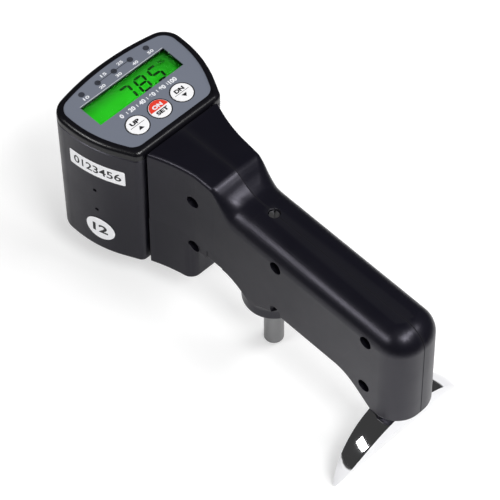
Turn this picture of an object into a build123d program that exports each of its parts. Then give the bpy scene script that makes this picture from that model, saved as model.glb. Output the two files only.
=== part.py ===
"""Hand-held impressor hardness tester: display head, pistol grip, spring-loaded indenter and leg.

Millimetres, +Z up. The origin is on the indenter's axis at the end of its sleeve, which is
the surface under test. +X runs from the display head to the leg, and +Y is the right side.
"""

import os
from math import atan2, cos, pi, radians, sin, tan

from build123d import *

# ---------------------------------------------------------------- driving sizes
wall = 2.0                     # housing walls
fit_gap = 0.05                 # running clearance of a shaft in its bore, per side
seat_gap = 0.02                # a piece in the seat that holds it
part_gap = 0.15                # plain clearance between loose neighbours
beyond = 300.0                 # reach of a cut that runs right out of the part

# grip and tail of the handle
grip_half = 12.7
grip_top = 79.0
grip_depth = 38.9
grip_round = 9.3               # rounding of the top edges
tail_corner = 11.3             # rounding of the tail in plan
under_round = 0.8
tail_end = 79.0
tail_depth = 49.6
tail_length = 14.4             # flat foot of the tail
knee_length = 19.6             # turned-down part of the underside, before the tail
knee_drop = 3.9                # fall of the underside near the middle of that turn

# block between the grip and the head
seam_x = -50.2
seam_flare = 6.0               # the block is wider than the grip by this at the seam
block_flare = 0.5              # and by this at the end of the flare
block_length = 18.2            # from the seam to the rear wall of its foot
flare_length = 20.2
flare_share = 0.36             # of the flare is left half way along it
shoulder_length = 30.2         # from the seam to the top of the fall
fall_length = 13.0
ridge_length = 4.0             # the roof begins to round over this far before the fall
ridge_ease = 0.2               # and is this much lower by the top of the fall
block_rise = 7.2               # shoulder above the grip
block_slope = 1.0
block_drop = 22.8              # the block's foot reaches this far below the grip
block_rear_round = 5.0
block_edge = 1.5

# boss around the indenter sleeve
boss_neck = 5.2                # straight part
boss_flare = 7.4
boss_edge = 1.6

# case screws: recess, shank and the posts that they pull together
screw_margin = 10.0            # upper row below the top of the grip
screw_foot = 1.3               # lower row above the underside
screw_tail = 18.0              # last column before the end of the tail
recess_radius = 2.0
recess_depth = 5.7
post_radius = 3.3
shank_radius = 1.1
case_head_height = 1.5

# display head
head_seam_gap = 0.8            # groove between the head and the handle
head_length = 44.4
head_half = 30.9
head_far_arch = 4.5
head_waist_share = 0.42        # where the sides begin to draw in, from the seam
head_near_flare = 2.8          # the head is wider than the block by this at the seam
head_far_round = 9.0
head_waist_round = 50.0
waist_straight = 1.0           # at the least, this much straight is left beside it
head_near_round = 4.0
head_rise = 0.9                # rim above the front of the block
bezel_height = 4.6
head_draft = 0.9
head_bottom_round = 2.0
bezel_round = 2.3
bezel_plate = 1.6
parting_chamfer = 0.4
rim_width = 2.8
overlay_thick = 0.4
overlay_recess = 0.3           # the rim stands this much above the overlay

# display, keys and lights
window_share = (0.257, 0.520)  # the window's span along the head, from the far end
window_width = 0.70            # and its half-width, as a share of the head's
lens_thick = 0.8
lens_gap = 0.7                 # lens below the face of the lid
display_gap = 1.0              # air between the lens and the display glass
glass_thick = 2.1
glass_margin = 1.9
backlight_thick = 2.7
board_thick = 1.6
board_gap = 1.4                # board edge to the head's inner wall
key_share = 0.739
key_spread = 0.374
key_radius = 4.5
key_stand = 0.25               # keys stand above the overlay by this
key_travel = 0.4
key_flange = 0.7
key_flange_thick = 0.8
key_stem = 1.6
switch_size = 6.0
switch_height = 3.4
light_share = 0.155
light_spread = 0.272
light_radius = 1.25
board_post_radius = 2.2
board_screw_radius = 1.0
board_screw_reach = 3.8        # length above the board
head_screw_reach = 5.5         # length in the head
head_screw_edge = 7.0          # from the seam's edge
head_screw_rise = 11.0         # lower pair above the bottom
head_screw_drop = 5.0          # upper pair below the board
board_post_share = ((0.169, 0.70), (0.651, 0.73))

# labels and access holes on the left side of the head
label_thick = 0.15
number_label_share = (0.333, 0.872)
number_label_drop = 9.0
number_label_height = 7.5
label_corner = 0.9
round_label_share = 0.606
round_label_rise = 13.7
round_label_radius = 7.5
access_share = (0.583, 0.588)
access_rise = (37.5, 25.5)
access_radius = 0.85

# battery compartment in the bottom of the head
cell_radius = 5.2
cell_length = 44.5
cell_share = 0.505
holder_wall = 1.2
holder_play = 0.3
holder_slot = (6.0, 22.0)      # slots in the cage, below its ceiling
holder_slot_half = 6.0
cover_length = 20.0
cover_half = 14.0
cover_thick = 1.6
cover_lip = 3.0
cover_screw_radius = 0.6
cover_screw_head = 1.2
cover_screw_sunk = 0.6
cover_screw_length = 5.0
groove_pitch = 1.8
groove_half = 0.4

# indenter, sleeve and load spring, on the Z axis
sleeve_radius = 4.0
sleeve_collar = 0.7            # the collar inside the boss is thicker by this
sleeve_shank = 0.4             # and the shank in the frame is thinner by this
sleeve_edge = 0.35
sleeve_nose = 2.2              # thickness of the sleeve's end
stroke = 0.76                  # how far the indenter stands out at rest
plunger_radius = 2.5
nose_radius = 1.2
tip_radius = 0.08
tip_half_angle = 26.0 / 2
collar_radius = 4.2
collar_thick = 1.4
fork_neck_radius = 2.0
spring_spigot = 5.0
spigot_radius = 1.7
spring_wire = 0.9
spring_radius = 3.1
spring_turns = 5.0

# frame
frame_height = 8.3
frame_side_gap = 2.7           # frame to the inside of the grip
frame_tail_gap = 4.0           # frame to the end of the tail
arm_reach = 6.0                # the arm runs past the sensor by this
arm_thick = 4.0
arm_drop = 1.5                 # the arm lies this far below the rail, clear of the lever
tower_half = 9.0
tower_gap = 6.0                # top of the tower below the top of the grip
chamber_radius = 4.6
thread_radius = 3.9
thread_length = 7.0
ballast_length = 15.5
rib_thick = 1.6
rib_x = (-24.0, 22.0, 48.0)

# load adjuster under its hole in the top of the grip
adjuster_head_radius = 2.1
adjuster_grip = 2.9            # threaded length still in the tower below its mouth
adjuster_sunk = 1.3            # its slotted end below the top of the grip
adjuster_shoulder = 2.8
slot_width = 0.8
slot_depth = 1.1
slot_turn = -48.0
nut_flats = 11.0
nut_thick = 1.6
top_hole_radius = 2.45

# lever and displacement sensor
pivot_x = -14.0
sensor_x = -41.0
lever_round = 1.4
lever_hub = 2.6
lever_half = 3.5
lever_bar = 1.1                # half thickness of the bar between its ends
fork_gap = 0.35
pin_radius = 1.2
ear_gap = 0.3
ear_thick = 2.0
ear_length = 6.0
stem_radius = 1.2
stem_length = 13.0
sensor_radius = 5.0
sensor_lift = 4.6              # sensor above the lever's middle
sensor_length = 19.5
bracket_thick = 4.0
bracket_half = 7.5
bracket_column = 2.0
bracket_rim = 2.0

# leg
leg_radius = 33.0
leg_gap = 2.4                  # neck between the leg and the tail
leg_foot_start = 13.3          # the sole, measured from the end of the tail
leg_foot_end = 12.1
leg_head_lean = 0.15
leg_tail_start = 5.6           # the leg's top, from the end of the tail
leg_belly = (0.615, 0.426)     # fullest point of its tail side, as shares of its top
stem_start = 13.8
stem_end = 6.0
stem_half = 6.0
leg_screw_radius = 1.6
leg_screw_head = 2.9
leg_screw_head_height = 3.0
leg_screw_pitch = 6.6
leg_screw_depth = 12.0

# ---------------------------------------------------------------- sizes that follow
grip_under = grip_top - grip_depth
tail_bottom = grip_top - tail_depth
tail_knee_end = tail_end - tail_length
tail_knee_start = tail_knee_end - knee_length
block_half = grip_half + block_flare
seam_half = grip_half + seam_flare
block_rear = seam_x + block_length
block_flare_end = seam_x + flare_length
block_shoulder = seam_x + shoulder_length
block_top_rear = grip_top + block_rise
block_top_front = block_top_rear - block_slope
block_bottom = grip_under - block_drop
fall_end = block_shoulder + fall_length
boss_radius = grip_half
boss_bottom = grip_under - boss_neck - boss_flare
screw_x = (block_rear + 1.5, boss_radius + 0.8, tail_end - screw_tail)
screw_upper = grip_top - screw_margin
screw_lower = grip_under + screw_foot
recess_floor = grip_half - recess_depth
shank_reach = grip_half - wall - 2.7

head_seam = seam_x - head_seam_gap
head_far = head_seam - head_length
head_waist_x = head_seam - head_waist_share * head_length
head_near_half = seam_half + head_near_flare
far_chord = atan2(head_far_arch, head_half)
far_room = head_length * (1 - head_waist_share) - head_far_arch - head_far_round * tan(pi / 4 - far_chord)
waist_turn = atan2(head_half - head_near_half, head_waist_share * head_length)
waist_round = min(head_waist_round, (far_room - waist_straight) / tan(waist_turn / 2))
bezel_top = block_top_front + head_rise
head_body_top = bezel_top - bezel_height
head_bottom = block_bottom
overlay_top = bezel_top - overlay_recess
overlay_floor = overlay_top - overlay_thick
plate_bottom = overlay_floor - bezel_plate
window_x = tuple(head_far + share * head_length for share in window_share)
window_half = window_width * head_half
lens_top = overlay_floor - lens_gap
glass_top = lens_top - lens_thick - display_gap
glass_bottom = glass_top - glass_thick
board_top = glass_bottom - backlight_thick
board_bottom = board_top - board_thick
key_x = head_far + key_share * head_length
key_pitch = key_spread * head_half
light_x = head_far + light_share * head_length
light_pitch = light_spread * head_half
cell_x = head_far + cell_share * head_length
cell_bottom = head_bottom + wall + 0.1

frame_bottom = screw_lower + post_radius + seat_gap
frame_top = frame_bottom + frame_height
frame_half = grip_half - wall - frame_side_gap
frame_tail = tail_end - frame_tail_gap
ballast_top = screw_upper - post_radius - seat_gap
arm_top = frame_top - arm_drop
tower_top = grip_top - tower_gap
adjuster_bottom = tower_top - thread_length + adjuster_grip
adjuster_top = grip_top - adjuster_sunk
adjuster_neck = adjuster_top - adjuster_shoulder
collar_bottom = frame_top + fit_gap
collar_top = collar_bottom + collar_thick
lever_z = collar_top + lever_round + fit_gap
seat_top = lever_z + lever_round + stroke + part_gap
spring_bottom = seat_top + collar_thick
spring_top = adjuster_bottom - fit_gap
spring_length = spring_top - spring_bottom
ear_top = lever_z + pin_radius + 1.9
sensor_bottom = lever_z + sensor_lift
sensor_top = sensor_bottom + sensor_length
stem_x = (tail_end - stem_start, tail_end - stem_end)
leg_top = tail_bottom - leg_gap
leg_foot = (tail_end - leg_foot_start, tail_end - leg_foot_end)
leg_tail_top = tail_end - leg_tail_start
leg_drop = leg_radius - leg_top
lean_top = leg_foot[0] - leg_head_lean * leg_top


# ---------------------------------------------------------------- helpers
def block(x, y, z):
    """Box from (low, high) pairs along each axis."""
    size = Box(x[1] - x[0], y[1] - y[0], z[1] - z[0])
    return Pos((x[0] + x[1]) / 2, (y[0] + y[1]) / 2, (z[0] + z[1]) / 2) * size


def rod(radius, z, at=(0, 0)):
    """Upright cylinder between two heights."""
    return Pos(at[0], at[1], (z[0] + z[1]) / 2) * Cylinder(radius, z[1] - z[0])


def rod_y(radius, y, at):
    """Cylinder along Y between two stations, at (x, z)."""
    return Pos(at[0], (y[0] + y[1]) / 2, at[1]) * Rot(90, 0, 0) * Cylinder(radius, y[1] - y[0])


def rod_x(radius, x, at):
    """Cylinder along X between two stations, at (y, z)."""
    return Pos((x[0] + x[1]) / 2, at[0], at[1]) * Rot(0, 90, 0) * Cylinder(radius, x[1] - x[0])


def side_profile(lines, half):
    """Closed outline in X and Z, made solid to `half` on both sides of the middle."""
    face = make_face(Plane.XZ * lines)
    return extrude(face, half, both=True)


def plan_prism(lines, z):
    """Closed outline in X and Y, made solid between two heights."""
    return Pos(0, 0, z[0]) * extrude(make_face(lines), z[1] - z[0])


def one(shape):
    """The largest solid of a result, as a plain part."""
    return Part() + max(shape.solids(), key=lambda s: s.volume)


# ---------------------------------------------------------------- handle forms
def grip_form(inset):
    """Grip with its turned-down tail, at a depth of `inset` inside the outer surface."""
    top = grip_top - inset
    under = grip_under + inset
    bottom = tail_bottom + inset
    end = tail_end - inset
    half = grip_half - inset
    start = block_rear - 2 * block_rear_round
    knee_end = tail_knee_end + inset * 0.7
    knee_mid = (tail_knee_start + (knee_end - tail_knee_start) * 0.56, under - knee_drop)
    side = Polyline((start, under), (start, top), (end, top), (end, bottom), (knee_end, bottom))
    side += Spline((knee_end, bottom), knee_mid, (tail_knee_start, under), tangents=((-1, 0.75), (-1, 0)))
    side += Line((tail_knee_start, under), (start, under))
    plan = plan_prism(Polyline((start, -half), (end, -half), (end, half), (start, half), close=True), (0, top))
    corners = plan.edges().filter_by(Axis.Z).filter_by(lambda e: e.center().X > end - 0.1)
    form = side_profile(side, half) & fillet(corners, tail_corner - inset)
    crown = form.edges().filter_by(lambda e: e.center().Z > top - 0.01 and e.center().X > start + 0.1)
    form = fillet(crown, grip_round - inset)
    if inset == 0:
        low = form.edges().filter_by(lambda e: e.center().Z < grip_under + 0.1 and e.center().X > start + 0.1)
        low = low.filter_by(lambda e: abs(e.center().X - tail_knee_start) > 0.1)
        form = fillet(low, under_round)
    return form


def block_half_at(x):
    """Half width of the block between the end of its flare and the top of the fall."""
    share = min(1.0, (x - block_flare_end) / (block_shoulder - block_flare_end))
    return block_half - block_flare * share


def roof_at(x):
    """Height of the block's sloping roof."""
    return block_top_rear - block_slope * (block_shoulder - x) / shoulder_length


def flare_outline(rear, rear_half, inset):
    """Plan of the block: the concave flare from the head's seam to the grip's width."""
    front = seam_x + inset
    wide = seam_half - inset
    mid_x = (seam_x + block_flare_end) / 2
    mid_half = block_half + (seam_half - block_half) * flare_share - inset
    slim = block_half - inset
    lines = ThreePointArc((front, wide), (mid_x, mid_half), (block_flare_end, slim))
    lines += Polyline((block_flare_end, slim), (rear, rear_half), (rear, -rear_half), (block_flare_end, -slim))
    lines += ThreePointArc((block_flare_end, -slim), (mid_x, -mid_half), (front, -wide))
    lines += Line((front, -wide), (front, wide))
    return lines


def block_form(inset):
    """Tall block behind the head, without the part that reaches below the grip."""
    rear = block_shoulder - ridge_length + fit_gap
    front = seam_x - 1
    plan = plan_prism(flare_outline(rear, block_half_at(rear) - inset, inset), (grip_under + inset, beyond))
    roof = Polyline(
        (front, grip_under),
        (front, roof_at(front) - inset),
        (rear, roof_at(rear) - inset),
        (rear, grip_under),
        close=True,
    )
    form = plan & side_profile(roof, seam_half + 2)
    if inset == 0:
        ridge = form.edges().filter_by(
            lambda e: e.center().Z > block_top_front - 1 and e.center().X > seam_x + 0.5 and e.center().X < rear - 0.5
        )
        form = fillet(ridge, block_edge)
    return form


def lower_block_form(inset):
    """Foot of the block, which reaches down beside the head behind a rounded rear wall."""
    rear = block_rear - inset
    plan = plan_prism(flare_outline(block_shoulder, grip_half, inset), (block_bottom + inset, grip_under + 5))
    cut = block((seam_x - 1, rear), (-beyond, beyond), (0, beyond))
    form = plan & cut
    upright = form.edges().filter_by(Axis.Z).filter_by(lambda e: e.center().X > rear - 0.1)
    form = fillet(upright, block_rear_round - inset)
    if inset == 0:
        foot = form.edges().filter_by(lambda e: abs(e.center().Z - block_bottom) < 0.01 and e.center().X > seam_x + 0.1)
        form = fillet(foot, block_edge)
    return form


def fall_section(x, half, top, turn):
    """Cross-section of the shoulder at station x: straight sides and two rounded top corners."""
    low = grip_under + wall + 2
    lines = Polyline((-half, low), (half, low), (half, top - turn))
    lines += RadiusArc((half, top - turn), (half - turn, top), -turn)
    lines += Line((half - turn, top), (turn - half, top))
    lines += RadiusArc((turn - half, top), (-half, top - turn), -turn)
    lines += Line((-half, top - turn), (-half, low))
    return Plane.YZ.offset(x) * make_face(lines)


def shoulder_form(inset):
    """Concave fall from the block down to the grip, its edges opening from tight to full."""
    drop = block_top_rear - ridge_ease - grip_top
    sections = []
    for share in (1.0, 0.4):
        x = block_shoulder - ridge_length * share
        top = roof_at(x) - ridge_ease * (1 - share) ** 2 - inset
        sections.append(fall_section(x, block_half_at(x) - seat_gap - inset, top, max(block_edge - inset, 0.5)))
    for share, fallen in ((0.0, 0.0), (0.15, 0.17), (0.35, 0.49), (0.6, 0.80), (0.8, 0.94), (1.0, 1.0)):
        x = block_shoulder + fall_length * share
        top = block_top_rear - ridge_ease - drop * fallen - inset
        turn = block_edge + (grip_round - block_edge) * min(1.0, fallen * 1.7)
        sections.append(fall_section(x, grip_half - inset, top, max(turn - inset, 0.5)))
    return loft(sections)


def boss_form(inset):
    """Round boss for the sleeve: it opens out to the underside, cut flush with the grip's sides."""
    r = boss_radius - inset
    low = boss_bottom + inset
    neck = boss_bottom + boss_neck
    high = grip_under
    top = grip_under + wall + 1
    lines = Polyline((0, low), (r, low), (r, neck))
    lines += RadiusArc((r, neck), (r + boss_flare, high), boss_flare)
    lines += Polyline((r + boss_flare, high), (r + boss_flare, top), (0, top), (0, low))
    form = revolve(make_face(Plane.XZ * lines), Axis.Z)
    if inset == 0:
        rim = form.edges().filter_by(lambda e: abs(e.center().Z - low) < 0.01 and e.geom_type == GeomType.CIRCLE)
        form = fillet(rim, boss_edge)
    half = grip_half - inset
    return form & block((-beyond, beyond), (-half, half), (0, top))


def handle_form(inset):
    """Whole outer surface of the handle, or the space inside its walls."""
    form = grip_form(inset) + block_form(inset)
    form = form + lower_block_form(inset)
    form = form + boss_form(inset)
    return form + shoulder_form(inset)


def screw_places():
    """(x, z) of the six case screws."""
    return [(x, z) for x in screw_x for z in (screw_upper, screw_lower)]


def handle_halves():
    """The two mirror-image shells: posts, screw recesses, frame ribs and openings."""
    outer = handle_form(0)
    hollow = handle_form(wall)
    shell = outer - hollow
    posts = Part()
    for at in screw_places():
        posts += rod_y(post_radius, (-grip_half, grip_half), at)
    ribs = Part()
    for x in rib_x:
        for side in (1, -1):
            reach = sorted((side * (frame_half + seat_gap), side * (grip_half - 1)))
            ribs += block((x, x + rib_thick), reach, (grip_under + 1, frame_top + 2))
    shell = shell + ((posts + ribs) & outer)
    shell -= rod(sleeve_radius + sleeve_collar + part_gap, (0, boss_bottom + boss_neck + 1))
    shell -= rod(top_hole_radius, (grip_top - wall - 1, beyond))
    shell -= block(
        (stem_x[0] - part_gap, stem_x[1] + part_gap),
        (-stem_half - part_gap, stem_half + part_gap),
        (0, tail_bottom + wall + 1),
    )
    for x, y, z in head_screw_places():
        shell -= rod_x(shank_radius + part_gap, (seam_x - 1, seam_x + wall + 1), (y, z))
    for at in screw_places():
        shell -= rod_y(shank_radius + seat_gap, (-shank_reach, shank_reach), at)
        shell -= rod_y(recess_radius, (-beyond, -recess_floor), at)
    left = one(shell & block((-beyond, beyond), (-beyond, 0), (0, beyond)))
    right = one(shell & block((-beyond, beyond), (0, beyond), (0, beyond)))
    return left, right


def case_screws():
    """Six pan-head screws, sunk in the recesses of the left half."""
    group = []
    for at in screw_places():
        screw = rod_y(shank_radius, (-recess_floor, shank_reach - 0.5), at)
        screw += rod_y(recess_radius - seat_gap, (-recess_floor - case_head_height, -recess_floor), at)
        screw -= cross_slot(at)
        group.append(screw)
    return Compound(children=[s.solid() for s in group])


def cross_slot(at):
    """Cross recess of one case screw."""
    depth = (-recess_floor - case_head_height - 0.1, -recess_floor - case_head_height + 0.8)
    tall = block((at[0] - 0.25, at[0] + 0.25), depth, (at[1] - 1.2, at[1] + 1.2))
    return tall + block((at[0] - 1.2, at[0] + 1.2), depth, (at[1] - 0.25, at[1] + 0.25))


# ---------------------------------------------------------------- display head
def head_outline():
    """Plan of the head: arched far end, full corners, and sides that draw in to the seam."""
    far = (head_far + head_far_arch, head_half)
    lines = ThreePointArc((far[0], -far[1]), (head_far, 0), far)
    lines += Polyline(
        far,
        (head_waist_x, head_half),
        (head_seam, head_near_half),
        (head_seam, -head_near_half),
        (head_waist_x, -head_half),
        (far[0], -far[1]),
    )
    face = make_face(lines)
    for x, turn in ((far[0], head_far_round), (head_waist_x, waist_round), (head_seam, head_near_round)):
        corners = [v for v in face.vertices() if abs(v.X - x) < 0.01 and abs(v.Y) > head_near_half - 0.01]
        face = fillet(corners, turn)
    return face


def head_prism(inset, z):
    """The head's plan, drawn in or let out, made solid between two heights."""
    face = head_outline()
    if inset:
        face = offset(face, -inset)
    return Pos(0, 0, z[0]) * extrude(face, z[1] - z[0])


def drafted_prism(inset, low):
    """The deep part of the head: its sides draw in a little towards the bottom."""
    face = offset(head_outline(), -inset) if inset else head_outline()
    return Pos(0, 0, head_body_top) * extrude(face, low - head_body_top, taper=head_draft)


def head_screw_places():
    """(x, y, z) of the four screws that hold the head to the handle, seen along X."""
    reach = seam_half - head_screw_edge
    head_screw_z = (head_bottom + head_screw_rise, board_bottom - head_screw_drop)
    return [(head_seam, side * reach, z) for side in (-1, 1) for z in head_screw_z]


def battery_opening(grow, z):
    """The battery door's outline, made solid between two heights."""
    reach = cover_length / 2 + grow
    return block((cell_x - reach, cell_x + reach), (-cover_half - grow, cover_half + grow), z)


def head_body():
    """Deep tub of the head, with its door opening, access holes and the pad at the seam."""
    tub = drafted_prism(0, head_bottom)
    foot = tub.edges().filter_by(lambda e: abs(e.center().Z - head_bottom) < 0.01)
    tub = fillet(foot, head_bottom_round)
    brim = tub.edges().filter_by(lambda e: abs(e.center().Z - head_body_top) < 0.01)
    tub = chamfer(brim, parting_chamfer)
    tub -= drafted_prism(wall, head_bottom + wall)
    pad = seam_half - 2.5
    tub += block((head_seam - wall, seam_x - seat_gap), (-pad, pad), (head_bottom + wall, head_body_top - 1))
    for _, y, z in head_screw_places():
        tub += rod_x(shank_radius + 1.8, (head_seam - 7, head_seam - 0.5), (y, z))
        tub -= rod_x(shank_radius + seat_gap, (head_seam - 6, seam_x + 1), (y, z))
    tub -= battery_opening(part_gap, (0, head_bottom + cover_thick))
    tub -= battery_opening(-cover_lip, (0, head_bottom + wall + 1))
    tub += rod(cover_screw_head + 0.4, (head_bottom + cover_thick, head_bottom + 7), cover_screw_at())
    tub -= rod(cover_screw_radius + seat_gap, (head_bottom, head_bottom + 6), cover_screw_at())
    for share, rise in zip(access_share, access_rise):
        tub -= rod_y(access_radius, (-beyond, -head_half / 2), (head_far + share * head_length, head_bottom + rise))
    return one(tub)


def cover_screw_at():
    """(x, y) of the battery door's screw, in the lip beyond the cells."""
    return (cell_x + cover_length / 2 - cover_lip / 2, 0)


def battery_cover():
    """Flat door in the bottom of the head, with finger grooves."""
    door = battery_opening(0, (head_bottom, head_bottom + cover_thick - seat_gap))
    for step in range(5):
        y = (step - 2) * groove_pitch
        door -= block((cell_x - 7, cell_x - 3), (y - groove_half, y + groove_half), (0, head_bottom + 0.5))
    door += battery_opening(-cover_lip - part_gap, (head_bottom, head_bottom + wall))
    door -= rod(cover_screw_radius + seat_gap, (0, beyond), cover_screw_at())
    door -= rod(cover_screw_head + seat_gap, (0, head_bottom + cover_screw_sunk + seat_gap), cover_screw_at())
    return one(door)


def battery_holder():
    """Cage over the door that holds the two cells upright, open below."""
    half_y = 2 * (cell_radius + holder_play)
    half_x = cell_radius + holder_play
    ceiling = cell_bottom + cell_length + 0.4
    outer_x = (cell_x - half_x - holder_wall, cell_x + half_x + holder_wall)
    low = head_bottom + wall + seat_gap
    cage = block(outer_x, (-half_y - holder_wall, half_y + holder_wall), (low, ceiling + holder_wall))
    cage -= block((cell_x - half_x, cell_x + half_x), (-half_y, half_y), (low - 1, ceiling))
    slot = (ceiling - holder_slot[1], ceiling - holder_slot[0])
    cage -= block((outer_x[0] - 1, outer_x[1] + 1), (-holder_slot_half, holder_slot_half), slot)
    return one(cage)


def battery_cells():
    """Two upright cells side by side, button ends up."""
    cells = []
    for side in (-1, 1):
        at = (cell_x, side * (cell_radius + 0.15))
        cell = rod(cell_radius, (cell_bottom, cell_bottom + cell_length - 1), at)
        cell += rod(1.9, (cell_bottom + cell_length - 1, cell_bottom + cell_length), at)
        cells.append(cell.solid())
    return Compound(children=cells)


def key_places():
    """(x, y) of the three keys, from the left side to the right."""
    return [(key_x, n * key_pitch) for n in (-1, 0, 1)]


def light_places():
    """(x, y) of the five indicator lights."""
    return [(light_x, n * light_pitch) for n in range(-2, 3)]


def post_places():
    """(x, y) of the four posts that carry the board."""
    return [(head_far + x * head_length, side * y * head_half) for x, y in board_post_share for side in (-1, 1)]


def head_bezel():
    """Lid of the head: rounded rim, sunk bed for the overlay, window, key and light holes."""
    lid = head_prism(0, (head_body_top, bezel_top))
    crown = lid.edges().filter_by(lambda e: abs(e.center().Z - bezel_top) < 0.01)
    lid = fillet(crown, bezel_round)
    skirt = lid.edges().filter_by(lambda e: abs(e.center().Z - head_body_top) < 0.01)
    lid = chamfer(skirt, parting_chamfer)
    lid -= head_prism(wall, (head_body_top - 1, plate_bottom))
    lid -= overlay_prism(0, (overlay_floor, bezel_top + 1))
    frame_wall = window_prism(glass_margin + fit_gap + 1, (glass_top - 1, plate_bottom + 0.1))
    lid += frame_wall - window_prism(glass_margin + fit_gap, (glass_top - 2, plate_bottom + 0.1))
    for at in post_places():
        lid += rod(board_post_radius, (board_top, plate_bottom + 0.1), at)
        lid -= rod(board_screw_radius + seat_gap, (board_top - 1, board_top + 4), at)
    lid -= window_prism(0, (plate_bottom - 1, bezel_top))
    for at in key_places():
        lid -= rod(key_radius + fit_gap, (plate_bottom - 1, bezel_top), at)
    for at in light_places():
        lid -= rod(light_radius + fit_gap, (plate_bottom - 1, bezel_top), at)
    return one(lid)


def overlay_prism(grow, z):
    """The overlay's outline, which is the rim's inner edge, made solid between two heights."""
    face = offset(head_outline(), -rim_width + grow)
    return Pos(0, 0, z[0]) * extrude(face, z[1] - z[0])


def window_prism(grow, z):
    """The display window's opening, made solid between two heights."""
    return block((window_x[0] - grow, window_x[1] + grow), (-window_half - grow, window_half + grow), z)


def overlay_panel():
    """Printed face sheet with its window, key and light openings."""
    sheet = overlay_prism(-0.1, (overlay_floor, overlay_top))
    sheet -= window_prism(0, (overlay_floor - 1, overlay_top + 1))
    for at in key_places():
        sheet -= rod(key_radius + fit_gap, (overlay_floor - 1, overlay_top + 1), at)
    for at in light_places():
        sheet -= rod(light_radius + fit_gap, (overlay_floor - 1, overlay_top + 1), at)
    return one(sheet)


def display_window():
    """Clear lens that lies in the window of the lid, over the display glass."""
    return window_prism(-fit_gap, (lens_top - lens_thick, lens_top))


def lcd_glass():
    """Display glass on its backlight."""
    margin = glass_margin - 0.4
    return block(
        (window_x[0] - margin, window_x[1] + margin),
        (-window_half - glass_margin, window_half + glass_margin),
        (glass_bottom, glass_top),
    )


def backlight():
    """Light box under the display glass."""
    return block(
        (window_x[0] - glass_margin + 0.4, window_x[1] + glass_margin),
        (-window_half - glass_margin, window_half + glass_margin),
        (board_top, glass_bottom),
    )


def main_board():
    """Circuit board that carries the display, the lights and the key switches."""
    board = head_prism(wall + board_gap, (board_bottom, board_top))
    for at in post_places():
        board -= rod(board_screw_radius + part_gap, (board_bottom - 1, board_top + 1), at)
    return one(board)


def board_screws():
    """Four screws that clamp the board to the posts of the lid."""
    group = []
    for at in post_places():
        screw = rod(board_screw_radius, (board_bottom, board_top + board_screw_reach), at)
        screw += rod(board_post_radius - 0.3, (board_bottom - 1.2, board_bottom), at)
        group.append(screw.solid())
    return Compound(children=group)


def key_switches():
    """Three tactile switches on the board, one under each key."""
    group = []
    for x, y in key_places():
        half = switch_size / 2
        switch = block((x - half, x + half), (y - half, y + half), (board_top, board_top + switch_height))
        group.append(switch.solid())
    return Compound(children=group)


def key(at):
    """One round key cap with its retaining flange and the stem over the switch."""
    cap = rod(key_radius, (plate_bottom, overlay_top + key_stand), at)
    crown = cap.edges().sort_by(Axis.Z)[-1]
    cap = fillet(crown, 0.25)
    cap += rod(key_radius + key_flange, (plate_bottom - key_flange_thick - 0.05, plate_bottom - 0.05), at)
    cap += rod(key_stem, (board_top + switch_height + key_travel + 0.1, plate_bottom - key_flange_thick), at)
    return one(cap)


def status_lights():
    """Five indicator lights, from the board up to the face."""
    group = []
    for at in light_places():
        lamp = rod(light_radius, (board_top, overlay_top - 0.05), at)
        group.append(lamp.solid())
    return Compound(children=group)


def side_skin():
    """Thin skin on the outside of the head's walls, from which the labels are cut."""
    return drafted_prism(-label_thick, head_bottom) - drafted_prism(0, head_bottom - 1)


def number_label():
    """Rectangular sticker with rounded corners that follows the curve of the head's left side."""
    x = tuple(head_far + share * head_length for share in number_label_share)
    top = head_body_top - number_label_drop
    cutter = block(x, (-beyond, 0), (top - number_label_height, top))
    return one(side_skin() & fillet(cutter.edges().filter_by(Axis.Y), label_corner))


def round_label():
    """Round sticker low on the head's left side."""
    at = (head_far + round_label_share * head_length, head_bottom + round_label_rise)
    return one(side_skin() & rod_y(round_label_radius, (-beyond, 0), at))


def head_screws():
    """Four screws from inside the handle into the head."""
    group = []
    for _, y, z in head_screw_places():
        screw = rod_x(shank_radius, (head_seam - head_screw_reach, seam_x + wall), (y, z))
        screw += rod_x(2.0, (seam_x + wall, seam_x + wall + 1.5), (y, z))
        group.append(screw.solid())
    return Compound(children=group)


def battery_cover_screw():
    """Small screw of the battery door, its head sunk in the door."""
    at = cover_screw_at()
    screw = rod(cover_screw_head, (head_bottom, head_bottom + cover_screw_sunk), at)
    return screw + rod(cover_screw_radius, (head_bottom, head_bottom + cover_screw_length), at)


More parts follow.
